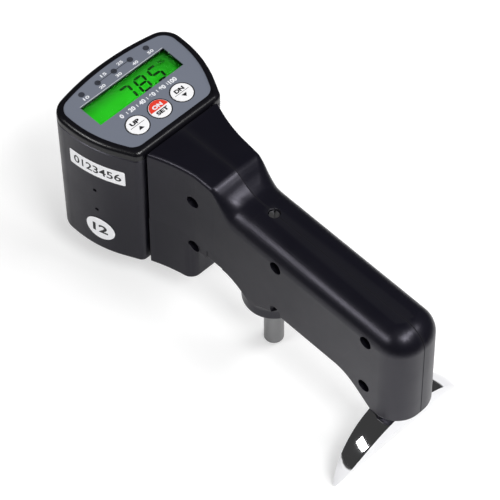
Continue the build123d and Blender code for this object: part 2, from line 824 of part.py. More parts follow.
# ---------------------------------------------------------------- mechanism
def frame():
    """Steel spine: rail, arm to the sensor, spring tower, lever ears and the tail ballast."""
    rail_start = pivot_x - ear_length / 2 - 0.5
    arm = (sensor_x - arm_reach, rail_start + 0.5)
    spine = block((rail_start, frame_tail), (-frame_half, frame_half), (frame_bottom, frame_top))
    spine += block(arm, (-bracket_half, bracket_half), (arm_top - arm_thick, arm_top))
    spine += block((-tower_half, tower_half), (-frame_half, frame_half), (frame_top, tower_top))
    spine += block((frame_tail - ballast_length, frame_tail), (-frame_half, frame_half), (frame_top, ballast_top))
    ear_x = (pivot_x - ear_length / 2, pivot_x + ear_length / 2)
    for side in (-1, 1):
        y = sorted((side * (lever_half + ear_gap), side * (lever_half + ear_gap + ear_thick)))
        spine += block(ear_x, y, (frame_top, ear_top))
    spine -= rod(sleeve_radius - sleeve_shank + seat_gap, (frame_bottom - 1, frame_top + 0.01))
    spine -= rod(chamber_radius, (frame_top, tower_top - thread_length))
    spine -= rod(thread_radius + fit_gap, (tower_top - thread_length - 1, tower_top + 1))
    slot_half = lever_half + 0.6
    spine -= block((-tower_half - 1, 0), (-slot_half, slot_half), (frame_top, lever_z + lever_round + 3))
    spine -= rod_y(pin_radius + seat_gap, (-frame_half, frame_half), (pivot_x, lever_z))
    for at in leg_screw_places():
        spine -= rod(leg_screw_radius + part_gap, (frame_bottom - 1, ballast_top + 1), at)
        spine -= rod(leg_screw_head + part_gap, (frame_top, ballast_top + 1), at)
    return one(spine)


def leg_screw_places():
    """(x, y) of the two screws that pull the leg up against the frame."""
    middle = (stem_x[0] + stem_x[1]) / 2
    return [(middle, -leg_screw_pitch / 2), (middle, leg_screw_pitch / 2)]


def indenter_sleeve():
    """Round guide that bears on the work, with a collar in the boss and a shank in the frame."""
    tube = rod(sleeve_radius, (0, boss_bottom + 1))
    rim = tube.edges().sort_by(Axis.Z)[0]
    tube = chamfer(rim, sleeve_edge)
    tube += rod(sleeve_radius + sleeve_collar, (boss_bottom, frame_bottom - seat_gap))
    tube += rod(sleeve_radius - sleeve_shank, (boss_bottom, frame_top))
    tube -= rod(plunger_radius + fit_gap, (sleeve_nose, frame_top + 1))
    tube -= rod(nose_radius + fit_gap, (-1, sleeve_nose + 1))
    return one(tube)


def indenter_plunger():
    """Hardened point, shaft, fork collars and spring spigot, turned in one piece."""
    cone = (nose_radius - tip_radius) / tan(radians(tip_half_angle))
    shoulder = sleeve_nose + stroke / 2
    lines = Polyline(
        (0, -stroke),
        (tip_radius, -stroke),
        (nose_radius, -stroke + cone),
        (nose_radius, shoulder),
        (plunger_radius, shoulder),
        (plunger_radius, collar_bottom),
        (collar_radius, collar_bottom),
        (collar_radius, collar_top),
        (fork_neck_radius, collar_top),
        (fork_neck_radius, seat_top),
        (collar_radius - 0.2, seat_top),
        (collar_radius - 0.2, spring_bottom),
        (spigot_radius, spring_bottom),
        (spigot_radius, spring_bottom + spring_spigot),
        (0, spring_bottom + spring_spigot),
        close=True,
    )
    return revolve(make_face(Plane.XZ * lines), Axis.Z)


def main_spring():
    """Load spring between the plunger's seat and the adjuster."""
    half_wire = spring_wire / 2
    rise = spring_length - spring_wire - 0.1
    path = Pos(0, 0, spring_bottom + half_wire + 0.05) * Helix(rise / spring_turns, rise, spring_radius)
    start = Plane(origin=path @ 0, z_dir=path % 0)
    return sweep(start * Circle(half_wire), path, is_frenet=True)


def load_adjuster():
    """Slotted screw that presses on the spring and shows in the hole on top of the grip."""
    screw = rod(thread_radius, (adjuster_bottom, adjuster_neck))
    screw += rod(adjuster_head_radius, (adjuster_neck, adjuster_top))
    slot = block((-thread_radius, thread_radius), (-slot_width / 2, slot_width / 2), (adjuster_top - slot_depth, beyond))
    return one(screw - Rot(0, 0, slot_turn) * slot)


def lock_nut():
    """Hexagon nut that locks the adjuster on top of the tower."""
    nut = Pos(0, 0, tower_top) * extrude(RegularPolygon(nut_flats / 2, 6, major_radius=False), nut_thick)
    return one(nut - rod(thread_radius + fit_gap, (tower_top - 1, tower_top + nut_thick + 1)))


def lever():
    """Rocker from the plunger's collars to the sensor, forked round the plunger's neck."""
    arm = rod_y(lever_hub, (-lever_half, lever_half), (pivot_x, lever_z))
    arm += rod_y(lever_round, (-lever_half, lever_half), (0, lever_z))
    arm += rod_y(lever_round, (-lever_half, lever_half), (sensor_x, lever_z))
    bar = (lever_z - lever_bar, lever_z + lever_bar)
    arm += block((sensor_x, 0), (-lever_half, lever_half), bar)
    neck = fork_neck_radius + fork_gap
    arm -= block((-neck - 1.5, beyond), (-neck, neck), (0, beyond))
    arm -= block((sensor_x + 5, pivot_x - 2 * lever_hub), (-lever_half / 2, lever_half / 2), (0, beyond))
    arm -= rod_y(pin_radius + fit_gap, (-beyond, beyond), (pivot_x, lever_z))
    return one(arm)


def lever_pin():
    """Pivot pin, held in the ears of the frame."""
    reach = lever_half + ear_gap + ear_thick
    return rod_y(pin_radius, (-reach, reach), (pivot_x, lever_z))


def stem_bottom():
    """Height at which the sensor's stem rests on the lever."""
    return lever_z + lever_round + 0.05


def sensor_body():
    """Displacement sensor, open below for its stem."""
    low = stem_bottom()
    body = rod(sensor_radius, (sensor_bottom, sensor_top), (sensor_x, 0))
    body -= rod(stem_radius + fit_gap, (sensor_bottom - 1, low + stem_length + 0.5), (sensor_x, 0))
    return one(body)


def sensor_stem():
    """Round-ended stem that follows the lever."""
    low = stem_bottom()
    stem = rod(stem_radius, (low, low + stem_length), (sensor_x, 0))
    return fillet(stem.edges().sort_by(Axis.Z)[0], 0.5)


def sensor_bracket():
    """Bridge over the lever that grips the sensor and stands on the frame's arm."""
    reach = sensor_radius + bracket_rim
    z = (sensor_bottom + 0.5, sensor_bottom + 0.5 + bracket_thick)
    plate = block((sensor_x - arm_reach, sensor_x + reach), (-bracket_half, bracket_half), z)
    for side in (-1, 1):
        y = sorted((side * (bracket_half - bracket_column), side * bracket_half))
        plate += block((sensor_x - arm_reach + 2, sensor_x + arm_reach - 2), y, (arm_top, z[1]))
    return one(plate - rod(sensor_radius + seat_gap, (z[0] - 1, z[1] + 1), (sensor_x, 0)))


# ---------------------------------------------------------------- leg
def leg():
    """Half-round foot, thin where it stands and thick below the tail, with its stem."""
    lines = Polyline((leg_tail_top, leg_top), (lean_top, leg_top), (leg_foot[0], 0), (leg_foot[1], 0))
    belly = (leg_foot[1] + leg_belly[0] * (leg_tail_top - leg_foot[1]), leg_belly[1] * leg_top)
    lines += ThreePointArc((leg_foot[1], 0), belly, (leg_tail_top, leg_top))
    wedge = side_profile(lines, leg_radius + 1)
    disc = rod_x(leg_radius, (tail_end - leg_radius, tail_end + leg_radius), (0, -leg_drop))
    foot = wedge & disc
    foot += block(stem_x, (-stem_half, stem_half), (leg_top - leg_gap, frame_bottom))
    for at in leg_screw_places():
        foot -= rod(leg_screw_radius + seat_gap, (frame_bottom - leg_screw_depth - 1, frame_bottom + 1), at)
    return one(foot)


def leg_screws():
    """Two socket screws down through the frame into the leg's stem."""
    group = []
    for at in leg_screw_places():
        screw = rod(leg_screw_radius, (frame_bottom - leg_screw_depth, frame_top), at)
        screw += rod(leg_screw_head, (frame_top, frame_top + leg_screw_head_height), at)
        screw -= rod(leg_screw_head / 2, (frame_top + leg_screw_head_height / 2, beyond), at)
        group.append(screw.solid())
    return Compound(children=group)


# ---------------------------------------------------------------- all pieces
def pieces():
    """Every node and its shape."""
    left, right = handle_halves()
    shapes = {"handle_half_left": left, "handle_half_right": right, "case_screws": case_screws()}
    makers = (
        head_body, head_bezel, overlay_panel, display_window, lcd_glass, backlight, main_board,
        board_screws, key_switches, status_lights, number_label, round_label, head_screws,
        battery_cover, battery_cover_screw, battery_holder, battery_cells,
        frame, indenter_sleeve, indenter_plunger, main_spring, load_adjuster, lock_nut,
        lever, lever_pin, sensor_body, sensor_stem, sensor_bracket, leg, leg_screws,
    )
    for maker in makers:
        shapes[maker.__name__] = maker()
    for name, at in zip(("key_left", "key_centre", "key_right"), key_places()):
        shapes[name] = key(at)
    return shapes


os.makedirs("parts", exist_ok=True)
for node, shape in pieces().items():
    export_step(shape, f"parts/{node}.step")
    print(node, round(shape.volume, 1))
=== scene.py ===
# %% [markdown]
# # Hand-held hardness tester
#
# A pistol grip in two black mouldings carries a display head at one end and a plated leg at the
# other. The indenter works through the round sleeve in the middle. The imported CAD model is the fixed
# frame: it is loaded, never moved, and each step below dresses one part of it or adds what a solid
# model lacks, such as prints, labels, a soft shoulder and a polished rim.

# %% Load the frame
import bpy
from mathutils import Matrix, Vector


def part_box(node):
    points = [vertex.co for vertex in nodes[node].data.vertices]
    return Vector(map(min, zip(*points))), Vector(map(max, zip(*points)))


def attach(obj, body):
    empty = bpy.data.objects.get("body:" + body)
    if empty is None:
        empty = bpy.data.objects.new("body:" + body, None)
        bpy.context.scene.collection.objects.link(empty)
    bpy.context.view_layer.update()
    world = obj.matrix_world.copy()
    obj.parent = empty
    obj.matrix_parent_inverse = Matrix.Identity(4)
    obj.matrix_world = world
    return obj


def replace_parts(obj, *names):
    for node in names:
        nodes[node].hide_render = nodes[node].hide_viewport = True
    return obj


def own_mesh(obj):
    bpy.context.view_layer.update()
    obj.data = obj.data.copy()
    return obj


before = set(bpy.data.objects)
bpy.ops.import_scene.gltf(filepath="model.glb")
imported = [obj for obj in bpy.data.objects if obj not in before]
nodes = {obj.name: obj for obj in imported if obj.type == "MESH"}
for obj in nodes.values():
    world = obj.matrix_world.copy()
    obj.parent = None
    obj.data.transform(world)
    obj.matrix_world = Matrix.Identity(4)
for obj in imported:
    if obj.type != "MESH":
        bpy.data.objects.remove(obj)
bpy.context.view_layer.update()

from math import atan2, cos, pi, radians, sin

import bmesh
import bpy
from mathutils import Matrix, Vector, bvhtree

MM = 0.001

# %% [markdown]
# ## Camera
#
# A long lens high over the leg's end looks down the grip to the face of the head. A camera could be
# turned by hand until it looks right. Here its place and its target are given as points, and the
# matrix is worked out from them, because two points are easy to check. A small roll comes last.

# %% Set the camera
CAMERA_AT = Vector((538.10, -525.83, 1057.97)) * MM
CAMERA_TARGET = Vector((48.87, -59.32, 157.61)) * MM
CAMERA_ROLL = radians(-0.404)
CAMERA_LENS = 237.34


def look_from(place, target, roll):
    """Camera matrix from its place and target, with the horizon rolled."""
    back = (place - target).normalized()
    right = Vector((0, 0, 1)).cross(back).normalized()
    up = back.cross(right)
    rolled_right = right * cos(roll) + up * sin(roll)
    rolled_up = up * cos(roll) - right * sin(roll)
    turn = Matrix((rolled_right, rolled_up, back)).transposed()
    return Matrix.Translation(place) @ turn.to_4x4()


camera = bpy.data.objects.new("camera", bpy.data.cameras.new("camera"))
camera.data.lens = CAMERA_LENS
camera.data.sensor_width = 36
camera.data.clip_start = 0.05
camera.data.clip_end = 20
camera.matrix_world = look_from(CAMERA_AT, CAMERA_TARGET, CAMERA_ROLL)
bpy.context.scene.collection.objects.link(camera)
bpy.context.scene.camera = camera
print("camera:", round(CAMERA_LENS), "mm lens at", [round(c, 3) for c in camera.location])

# %% [markdown]
# ## Helpers
#
# Node trees and meshes are built by the same few moves again and again: add a node and fill its
# sockets, bring a value from one range to another, turn a bmesh into a mesh. They could be written
# out each time. Given a name once, they let the steps below say what they make.

# %% Helpers for objects and meshes
def new_object(name, data):
    """Links a mesh or a curve to the scene as an object at the origin."""
    piece = bpy.data.objects.new(name, data)
    bpy.context.scene.collection.objects.link(piece)
    return piece


def mesh_of(form, name):
    """Turns a bmesh into a mesh and frees it."""
    mesh = bpy.data.meshes.new(name)
    form.to_mesh(mesh)
    form.free()
    return mesh


print("mesh helpers ready")

# %% Helpers for node trees
def link_in(tree, socket, value):
    """Sets a socket, or links it if the value is another node's output."""
    if isinstance(value, bpy.types.NodeSocket):
        tree.links.new(value, socket)
    else:
        socket.default_value = value


def add_node(tree, kind, inputs=None, **settings):
    """Adds a node with its settings and inputs, by name or by number."""
    node = tree.nodes.new(kind)
    for name, value in settings.items():
        setattr(node, name, value)
    for key, value in (inputs or {}).items():
        link_in(tree, node.inputs[key], value)
    return node


def reckoned(tree, operation, *values):
    """Result of a Math node."""
    return add_node(tree, "ShaderNodeMath", dict(enumerate(values)), operation=operation).outputs[0]


def scaled(tree, vector, factor):
    """A vector or colour times a value or another vector."""
    inputs = {0: vector, 1: factor}
    return add_node(tree, "ShaderNodeVectorMath", inputs, operation="MULTIPLY").outputs[0]


def ranged(tree, value, old, new, kind="LINEAR"):
    """A value brought from one (low, high) range to another and held there."""
    inputs = {"Value": value, "From Min": old[0], "From Max": old[1], "To Min": new[0], "To Max": new[1]}
    return add_node(tree, "ShaderNodeMapRange", inputs, interpolation_type=kind).outputs[0]


def blended(tree, factor, first, second):
    """Mix of two values."""
    inputs = {0: factor, 2: first, 3: second}
    return add_node(tree, "ShaderNodeMix", inputs, data_type="FLOAT").outputs[0]


def noise(tree, place, scale, **settings):
    """Value of a noise texture."""
    sockets = {"Vector": place, "Scale": scale, **settings}
    return add_node(tree, "ShaderNodeTexNoise", sockets).outputs["Fac"]


def new_material(name):
    """New material with its tree, its shader and the Object coordinates."""
    material = bpy.data.materials.new(name)
    material.use_nodes = True
    tree = material.node_tree
    place = add_node(tree, "ShaderNodeTexCoord").outputs["Object"]
    return material, tree, tree.nodes["Principled BSDF"].inputs, place


print("node helpers ready")

# %% [markdown]
# ## Floor
#
# The instrument stands on white paper, and its black side walls mirror that paper. A real sheet
# under real lamps would also show its own shade to the walls, brighter here and darker there. So the
# paper's brightness for mirrored rays is painted: full around the grip, a painted shade beside the
# head, and a painted fall-off to dark further out. For the camera it stays an even white.

# %% Make the floor
FLOOR_Z = -0.0009
FLOOR_HALF = 3.0
PAPER_TONE = (0.68, 0.71)
PAPER_WHITE = 0.385
MIRRORED_WHITE = 0.6 * PAPER_WHITE
PAPER_REACH, FAR_PAPER = (0.13, 0.26), 0.05
SHADE_AT, SHADE_REACH, SHADE_TONE = (-0.06, -0.048, 0.0), 0.11, 0.4


def seen_directly(tree):
    """1 for rays from the camera, and for those that come by way of metal or glass."""
    path = add_node(tree, "ShaderNodeLightPath").outputs
    shiny = reckoned(tree, "MAXIMUM", path["Is Glossy Ray"], path["Is Transmission Ray"])
    return reckoned(tree, "MAXIMUM", path["Is Camera Ray"], shiny)


def paper_material():
    """White paper. A little of its white is its own, so that its lit part shows as plain white."""
    material, tree, shader, place = new_material("paper")
    tone = ranged(tree, noise(tree, place, 9.0, Detail=3.0), (0.0, 1.0), PAPER_TONE)
    # For mirrored rays only, the paper's colour and glow carry painted shade: dark far out and in a patch
    # beside the head.
    away = add_node(tree, "ShaderNodeVectorMath", {0: place}, operation="LENGTH")
    aside = add_node(tree, "ShaderNodeVectorMath", {0: place, 1: SHADE_AT}, operation="DISTANCE")
    lit = ranged(tree, away.outputs["Value"], PAPER_REACH, (1.0, FAR_PAPER), "SMOOTHSTEP")
    shade = ranged(tree, aside.outputs["Value"], (0.0, SHADE_REACH), (SHADE_TONE, 1.0))
    mirrored = add_node(tree, "ShaderNodeLightPath").outputs["Is Glossy Ray"]
    share = blended(tree, mirrored, 1.0, reckoned(tree, "MULTIPLY", lit, shade))
    own_white = ranged(tree, mirrored, (0.0, 1.0), (PAPER_WHITE, MIRRORED_WHITE))
    bright = reckoned(tree, "MULTIPLY", tone, share)
    grey = add_node(tree, "ShaderNodeCombineColor", {"Red": bright, "Green": bright, "Blue": bright})
    tree.links.new(grey.outputs[0], shader["Base Color"])
    shader["Roughness"].default_value = 0.9
    shader["Specular IOR Level"].default_value = 0.1
    shader["Emission Color"].default_value = (1, 1, 1, 1)
    glow = reckoned(tree, "MULTIPLY", share, own_white)
    tree.links.new(reckoned(tree, "MULTIPLY", seen_directly(tree), glow), shader["Emission Strength"])
    return material


floor_form = bmesh.new()
bmesh.ops.create_grid(floor_form, x_segments=8, y_segments=8, size=FLOOR_HALF)
bmesh.ops.translate(floor_form, verts=floor_form.verts, vec=(0, 0, FLOOR_Z))
floor = new_object("floor", mesh_of(floor_form, "floor"))
floor.data.materials.append(paper_material())
print("floor at", FLOOR_Z)

# %% [markdown]
# ## Studio light
#
# The studio above the paper is dark, so the flat black tops stay deep. Soft boxes do the rest: a
# large one behind lights the paper and throws the shadow forward, two small ones overhead make the
# glints on the tail and on the shoulder, and one at the left draws the long streak along the grip.
# The large one is hidden from mirrored rays, because it would show as a pale patch on the far side.

# %% Light it
AMBIENT = 0.27
DARK_STUDIO = 0.05
SOFT_BOXES = (
    # name, direction from the grip, distance, size, power, shows in gloss
    ("back_box", (0.35, 0.80, 0.50), 1.5, (1.0, 1.0), 14.0, False),
    ("top_box", (0.55, -0.15, 0.82), 1.4, (0.42, 0.42), 9.0, True),
    ("ridge_box", (0.45, 0.25, 0.86), 1.4, (0.3, 0.3), 5.0, True),
    ("left_box", (-0.29, -0.80, 0.55), 1.3, (0.55, 0.25), 5.0, True),
)
GRIP_MIDDLE = Vector((0.01, 0, 0.06))
for name, direction, distance, size, power, in_gloss in SOFT_BOXES:
    lamp = bpy.data.lights.new(name, "AREA")
    lamp.shape = "RECTANGLE"
    lamp.size, lamp.size_y = size
    lamp.energy = power
    holder = new_object(name, lamp)
    holder.location = GRIP_MIDDLE + Vector(direction).normalized() * distance
    holder.rotation_euler = (-Vector(direction)).to_track_quat("-Z", "Y").to_euler()
    holder.visible_glossy = in_gloss
print("lamps:", len(SOFT_BOXES))

# %% Surround it
world = bpy.data.worlds.new("studio")
bpy.context.scene.world = world
world.use_nodes = True
air = world.node_tree
air.nodes.clear()
path = add_node(air, "ShaderNodeLightPath").outputs
mirrored = reckoned(air, "MAXIMUM", path["Is Glossy Ray"], path["Is Transmission Ray"])
level = blended(air, path["Is Camera Ray"], blended(air, mirrored, AMBIENT, DARK_STUDIO), 1.0)
studio_air = add_node(air, "ShaderNodeBackground", {"Color": (1, 1, 1, 1), "Strength": level})
add_node(air, "ShaderNodeOutputWorld", {"Surface": studio_air.outputs[0]})
bpy.context.scene.view_settings.view_transform = "Standard"
print("ambient:", AMBIENT, "| studio as mirrored:", DARK_STUDIO)

# %% [markdown]
# ## Effects shared by the finishes
#
# Moulded and machined surfaces have a fine grain that breaks up their gloss. Everything that is
# handled has faint smudges, where the roughness wanders. Edges that get rubbed turn paler. Two
# mouldings that meet leave a dull line. Each effect could be wired into every material by hand. As a
# node group with named inputs it is built once, and a material only sets its own values.

# %% Group maker, grain and smudges
def new_group(name, inputs, outputs):
    """Shader node group with named sockets, and both ends. Inputs give (name, type, value)."""
    group = bpy.data.node_groups.new(name, "ShaderNodeTree")
    for label, kind, value in inputs:
        socket = group.interface.new_socket(label, in_out="INPUT", socket_type=kind)
        if value is not None:
            socket.default_value = value
    for label, kind in outputs:
        group.interface.new_socket(label, in_out="OUTPUT", socket_type=kind)
    ends = add_node(group, "NodeGroupInput"), add_node(group, "NodeGroupOutput")
    return group, ends[0].outputs, ends[1].inputs


def make_grain_group():
    """Fine pitted grain: a height for a Bump node and a small shift of tone."""
    group, given, made = new_group(
        "moulded_grain",
        (
            ("Vector", "NodeSocketVector", None),
            ("Scale", "NodeSocketFloat", 3500.0),
            ("Tone", "NodeSocketFloat", 0.15),
        ),
        (("Height", "NodeSocketFloat"), ("Shade", "NodeSocketFloat")),
    )
    fine = noise(group, given["Vector"], given["Scale"], Detail=2.0)
    wide = noise(group, given["Vector"], 60.0, Detail=4.0)
    shade = reckoned(group, "MULTIPLY", reckoned(group, "SUBTRACT", wide, 0.5), given["Tone"])
    group.links.new(fine, made["Height"])
    group.links.new(reckoned(group, "ADD", shade, 1.0), made["Shade"])
    return group


def make_smudge_group():
    """Handling marks: a roughness that wanders between two values."""
    group, given, made = new_group(
        "handling_smudges",
        (
            ("Vector", "NodeSocketVector", None),
            ("Scale", "NodeSocketFloat", 45.0),
            ("Clean", "NodeSocketFloat", 0.3),
            ("Rubbed", "NodeSocketFloat", 0.4),
        ),
        (("Roughness", "NodeSocketFloat"),),
    )
    cloud = noise(group, given["Vector"], given["Scale"], Detail=5.0, Roughness=0.6)
    spread = ranged(group, cloud, (0.35, 0.65), (given["Clean"], given["Rubbed"]))
    group.links.new(spread, made["Roughness"])
    return group


GRAIN = make_grain_group()
SMUDGE = make_smudge_group()
print("effects:", GRAIN.name, SMUDGE.name)

# %% Edge wear and parting line
def make_wear_group():
    """Edges and corners catch wear: a mask from how sharply the surface turns."""
    group, given, made = new_group(
        "edge_wear",
        (("Amount", "NodeSocketFloat", 0.5),),
        (("Mask", "NodeSocketFloat"),),
    )
    bend = add_node(group, "ShaderNodeNewGeometry").outputs["Pointiness"]
    sharp = ranged(group, bend, (0.52, 0.6), (0.0, 1.0))
    group.links.new(reckoned(group, "MULTIPLY", sharp, given["Amount"]), made["Mask"])
    return group


def make_parting_group():
    """The line where two mouldings meet at y = 0, as a mask."""
    group, given, made = new_group(
        "parting_line",
        (("Vector", "NodeSocketVector", None), ("Half width", "NodeSocketFloat", 0.00032)),
        (("Mask", "NodeSocketFloat"),),
    )
    split = add_node(group, "ShaderNodeSeparateXYZ", {0: given["Vector"]})
    away = reckoned(group, "ABSOLUTE", split.outputs["Y"])
    mask = ranged(group, away, (0.0, given["Half width"]), (1.0, 0.0), "SMOOTHSTEP")
    group.links.new(mask, made["Mask"])
    return group


WEAR = make_wear_group()
PARTING = make_parting_group()
print("effects:", WEAR.name, PARTING.name)

# %% [markdown]
# ## Finishes
#
# The real pieces are black moulded plastic, a printed film, ground and blackened steel, bright
# plating, paper labels and coloured keys. Each could be one flat colour, but then it would look like
# wet paint. So every finish takes its colour through the grain and the wear, its roughness through
# the smudges, and its relief from the grain. Only the numbers differ from one to the next.

# %% Finish maker
GRAIN_DEPTH = 0.00002
LINE_TONE = 0.1


def effect(tree, group, **values):
    """Outputs of one of the effects with its values set."""
    return add_node(tree, "ShaderNodeGroup", values, node_tree=group).outputs


def finish_material(
    name, colour, rubbed, grain=3500.0, bump=0.05, tone=0.15,
    wear=0.0, worn=(0.3, 0.3, 0.3), parted=False, **fixed,
):
    """Material with grain, smudges and edge wear. `fixed` sets the shader's own sockets."""
    material, tree, shader, place = new_material(name)
    speck = effect(tree, GRAIN, Vector=place, Scale=grain, Tone=tone)
    roughness = effect(tree, SMUDGE, Vector=place, Clean=rubbed[0], Rubbed=rubbed[1])["Roughness"]
    edge = effect(tree, WEAR, Amount=wear)["Mask"]
    colours = {0: edge, 6: scaled(tree, colour, speck["Shade"]), 7: (*worn, 1)}
    base = add_node(tree, "ShaderNodeMix", colours, data_type="RGBA").outputs[2]
    if parted:
        line = effect(tree, PARTING, Vector=place)["Mask"]
        roughness = blended(tree, line, roughness, 1.0)
        base = scaled(tree, base, ranged(tree, line, (0.0, 1.0), (1.0, LINE_TONE)))
    height = {"Height": speck["Height"], "Strength": bump, "Distance": GRAIN_DEPTH}
    relief = add_node(tree, "ShaderNodeBump", height).outputs[0]
    for label, value in (("Base Color", base), ("Roughness", roughness), ("Normal", relief)):
        tree.links.new(value, shader[label])
    for label, value in fixed.items():
        shader[label.replace("_", " ")].default_value = value
    return material


print("finish maker ready")

# %% Mix the finishes
BLACK = (0.0042, 0.004, 0.0075)
MOULDED = dict(
    rubbed=(0.3, 0.38), grain=2600.0, bump=0.35, tone=0.25, wear=0.25, worn=(0.02, 0.02, 0.023),
    Specular_Tint=(0.88, 0.85, 1.0, 1.0),
)
METAL = dict(bump=0.2, Metallic=1.0)
MOULDING = finish_material("black_moulding", BLACK, Specular_IOR_Level=0.54, **MOULDED)
HANDLE_MOULDING = finish_material("handle_moulding", BLACK, parted=True, Specular_IOR_Level=0.46, **MOULDED)
RIM_PLASTIC = finish_material(
    "rim_plastic", (0.0038, 0.0036, 0.0055), (0.24, 0.32), grain=3000.0, bump=0.2, tone=0.2
)
FACE_FILM = finish_material("face_film", (0.145, 0.16, 0.2), (0.42, 0.5), grain=5000.0, bump=0.3, tone=0.06)
STEEL = finish_material("machined_steel", (0.5, 0.5, 0.51), (0.25, 0.38), grain=1800.0, **METAL)
SLEEVE_STEEL = finish_material("ground_steel", (0.29, 0.29, 0.295), (0.3, 0.42), grain=2500.0, **METAL)
BLACK_STEEL = finish_material("blackened_steel", (0.06, 0.06, 0.065), (0.35, 0.5), bump=0.2, Metallic=0.8)
PLATING = finish_material(
    "chrome_plating", (0.82, 0.82, 0.84), (0.03, 0.07), grain=900.0, bump=0.02, tone=0.03, Metallic=1.0
)
ALLOY = finish_material("machined_alloy", (0.7, 0.7, 0.72), (0.3, 0.42), **METAL)
LABEL_PAPER = finish_material(
    "label_paper", (0.95, 0.95, 0.97), (0.45, 0.55), grain=4000.0, bump=0.2, tone=0.06
)
KEY_WHITE = finish_material("key_white", (0.8, 0.8, 0.81), (0.35, 0.42), grain=4000.0, bump=0.1, tone=0.05)
KEY_RED = finish_material("key_red", (0.68, 0.04, 0.02), (0.35, 0.42), grain=4000.0, bump=0.1, tone=0.1)
WHITE_INK = finish_material("white_ink", (0.72, 0.73, 0.76), (0.5, 0.6), tone=0.05)
BLACK_INK = finish_material("black_ink", (0.015, 0.015, 0.017), (0.45, 0.55), tone=0.1)
SMOKED = finish_material("smoked_lamp", (0.035, 0.038, 0.05), (0.3, 0.4), tone=0.1)
WHITE_PLASTIC = finish_material("white_plastic", (0.75, 0.75, 0.72), (0.4, 0.5))
BOARD_GREEN = finish_material("solder_mask", (0.02, 0.14, 0.05), (0.25, 0.35), tone=0.2)
CELL_FOIL = finish_material("cell_foil", (0.35, 0.36, 0.38), (0.2, 0.3), Metallic=0.7)
print("materials so far:", len(bpy.data.materials))

# %% [markdown]
# ## Lit display
#
# The real glass is lit by a light box below it and lies deep under the face, so the window's frame
# shades its rim, its far side and one end. A lamp below clear glass would give the glow, slowly and
# with noise. Here the glass glows by itself, and a product of soft ramps paints that shade in: it
# takes the glow down at the rim, along the far side and towards one end. The lens over it
# is clear, with the faintest smudges in its gloss.

# %% Display finishes
WINDOW_X, WINDOW_HALF = (-84.0, -72.3), 21.6
GLOW, GLASS_GREEN, RIPPLE = (0.012, 0.44, 0.006), (0.01, 0.12, 0.01), (0.93, 1.07)
# Painted shade of the window's frame on the glass: a darker rim all round, and darker towards the far side
# and the +Y end.
SHADE_RIM_INSIDE, SHADE_RIM_OUTSIDE, SHADE_RIM_TONE = 0.0022, 0.0012, 0.3
FRAME_SHADE_SIDES = (
    # axis, where the painted shade begins, where it ends, share of the glow that is left
    (0, 0.0005, -0.0058, 0.5),
    (1, 0.006, 0.021, 0.45),
    (1, 0.0196, 0.0212, 0.3),
)


def display_material():
    """Green backlit glass, darkened towards its edges by painted shade of the window's frame."""
    material, tree, shader, place = new_material("lit_display")
    middle = ((WINDOW_X[0] + WINDOW_X[1]) / 2 * MM, 0.0, 0.0)
    centred = add_node(tree, "ShaderNodeVectorMath", {0: place, 1: middle}, operation="SUBTRACT")
    along = add_node(tree, "ShaderNodeSeparateXYZ", {0: centred.outputs[0]}).outputs
    # Painted shade: soft ramps take the glow down at the rim, the far side and the +Y end.
    shade_ramps = []
    for axis, half in ((0, (WINDOW_X[1] - WINDOW_X[0]) / 2 * MM), (1, WINDOW_HALF * MM)):
        size = reckoned(tree, "ABSOLUTE", along[axis])
        shade_ramps.append((size, (half - SHADE_RIM_INSIDE, half + SHADE_RIM_OUTSIDE), SHADE_RIM_TONE))
    shade_ramps += [(along[axis], (start, end), tone) for axis, start, end, tone in FRAME_SHADE_SIDES]
    shade_masks = [ranged(tree, value, reach, (1.0, tone), "SMOOTHSTEP") for value, reach, tone in shade_ramps]
    ripple = ranged(tree, noise(tree, place, 90.0, Detail=2.0), (0.0, 1.0), RIPPLE)
    level = shade_masks[0]
    for mask in (*shade_masks[1:], ripple):
        level = reckoned(tree, "MULTIPLY", level, mask)
    tree.links.new(scaled(tree, GLOW, level), shader["Emission Color"])
    tree.links.new(scaled(tree, GLASS_GREEN, ripple), shader["Base Color"])
    shader["Emission Strength"].default_value = 1.0
    shader["Roughness"].default_value = 0.3
    return material


def clear_material():
    """Clear lens with the faintest smudges in its gloss."""
    material, tree, shader, place = new_material("clear_lens")
    smudge = effect(tree, SMUDGE, Vector=place, Clean=0.02, Rubbed=0.06)
    tree.links.new(smudge["Roughness"], shader["Roughness"])
    for label, value in (("Base Color", (1, 1, 1, 1)), ("Transmission Weight", 1.0), ("IOR", 1.05)):
        shader[label].default_value = value
    return material


LIT_DISPLAY = display_material()
CLEAR_LENS = clear_material()
SEGMENT_INK = finish_material("segment_ink", (0.004, 0.03, 0.004), (0.4, 0.5), tone=0.2)
print("display finishes:", LIT_DISPLAY.name, CLEAR_LENS.name, SEGMENT_INK.name)

# %% [markdown]
# ## Dress the CAD pieces
#
# Mouldings, shafts, plates and screws already have their true shape in the CAD. They could be
# modelled again with finer edges, but then they would no longer match the parts that move. So they
# stay as they are, and each one gets the finish of what it is made of.

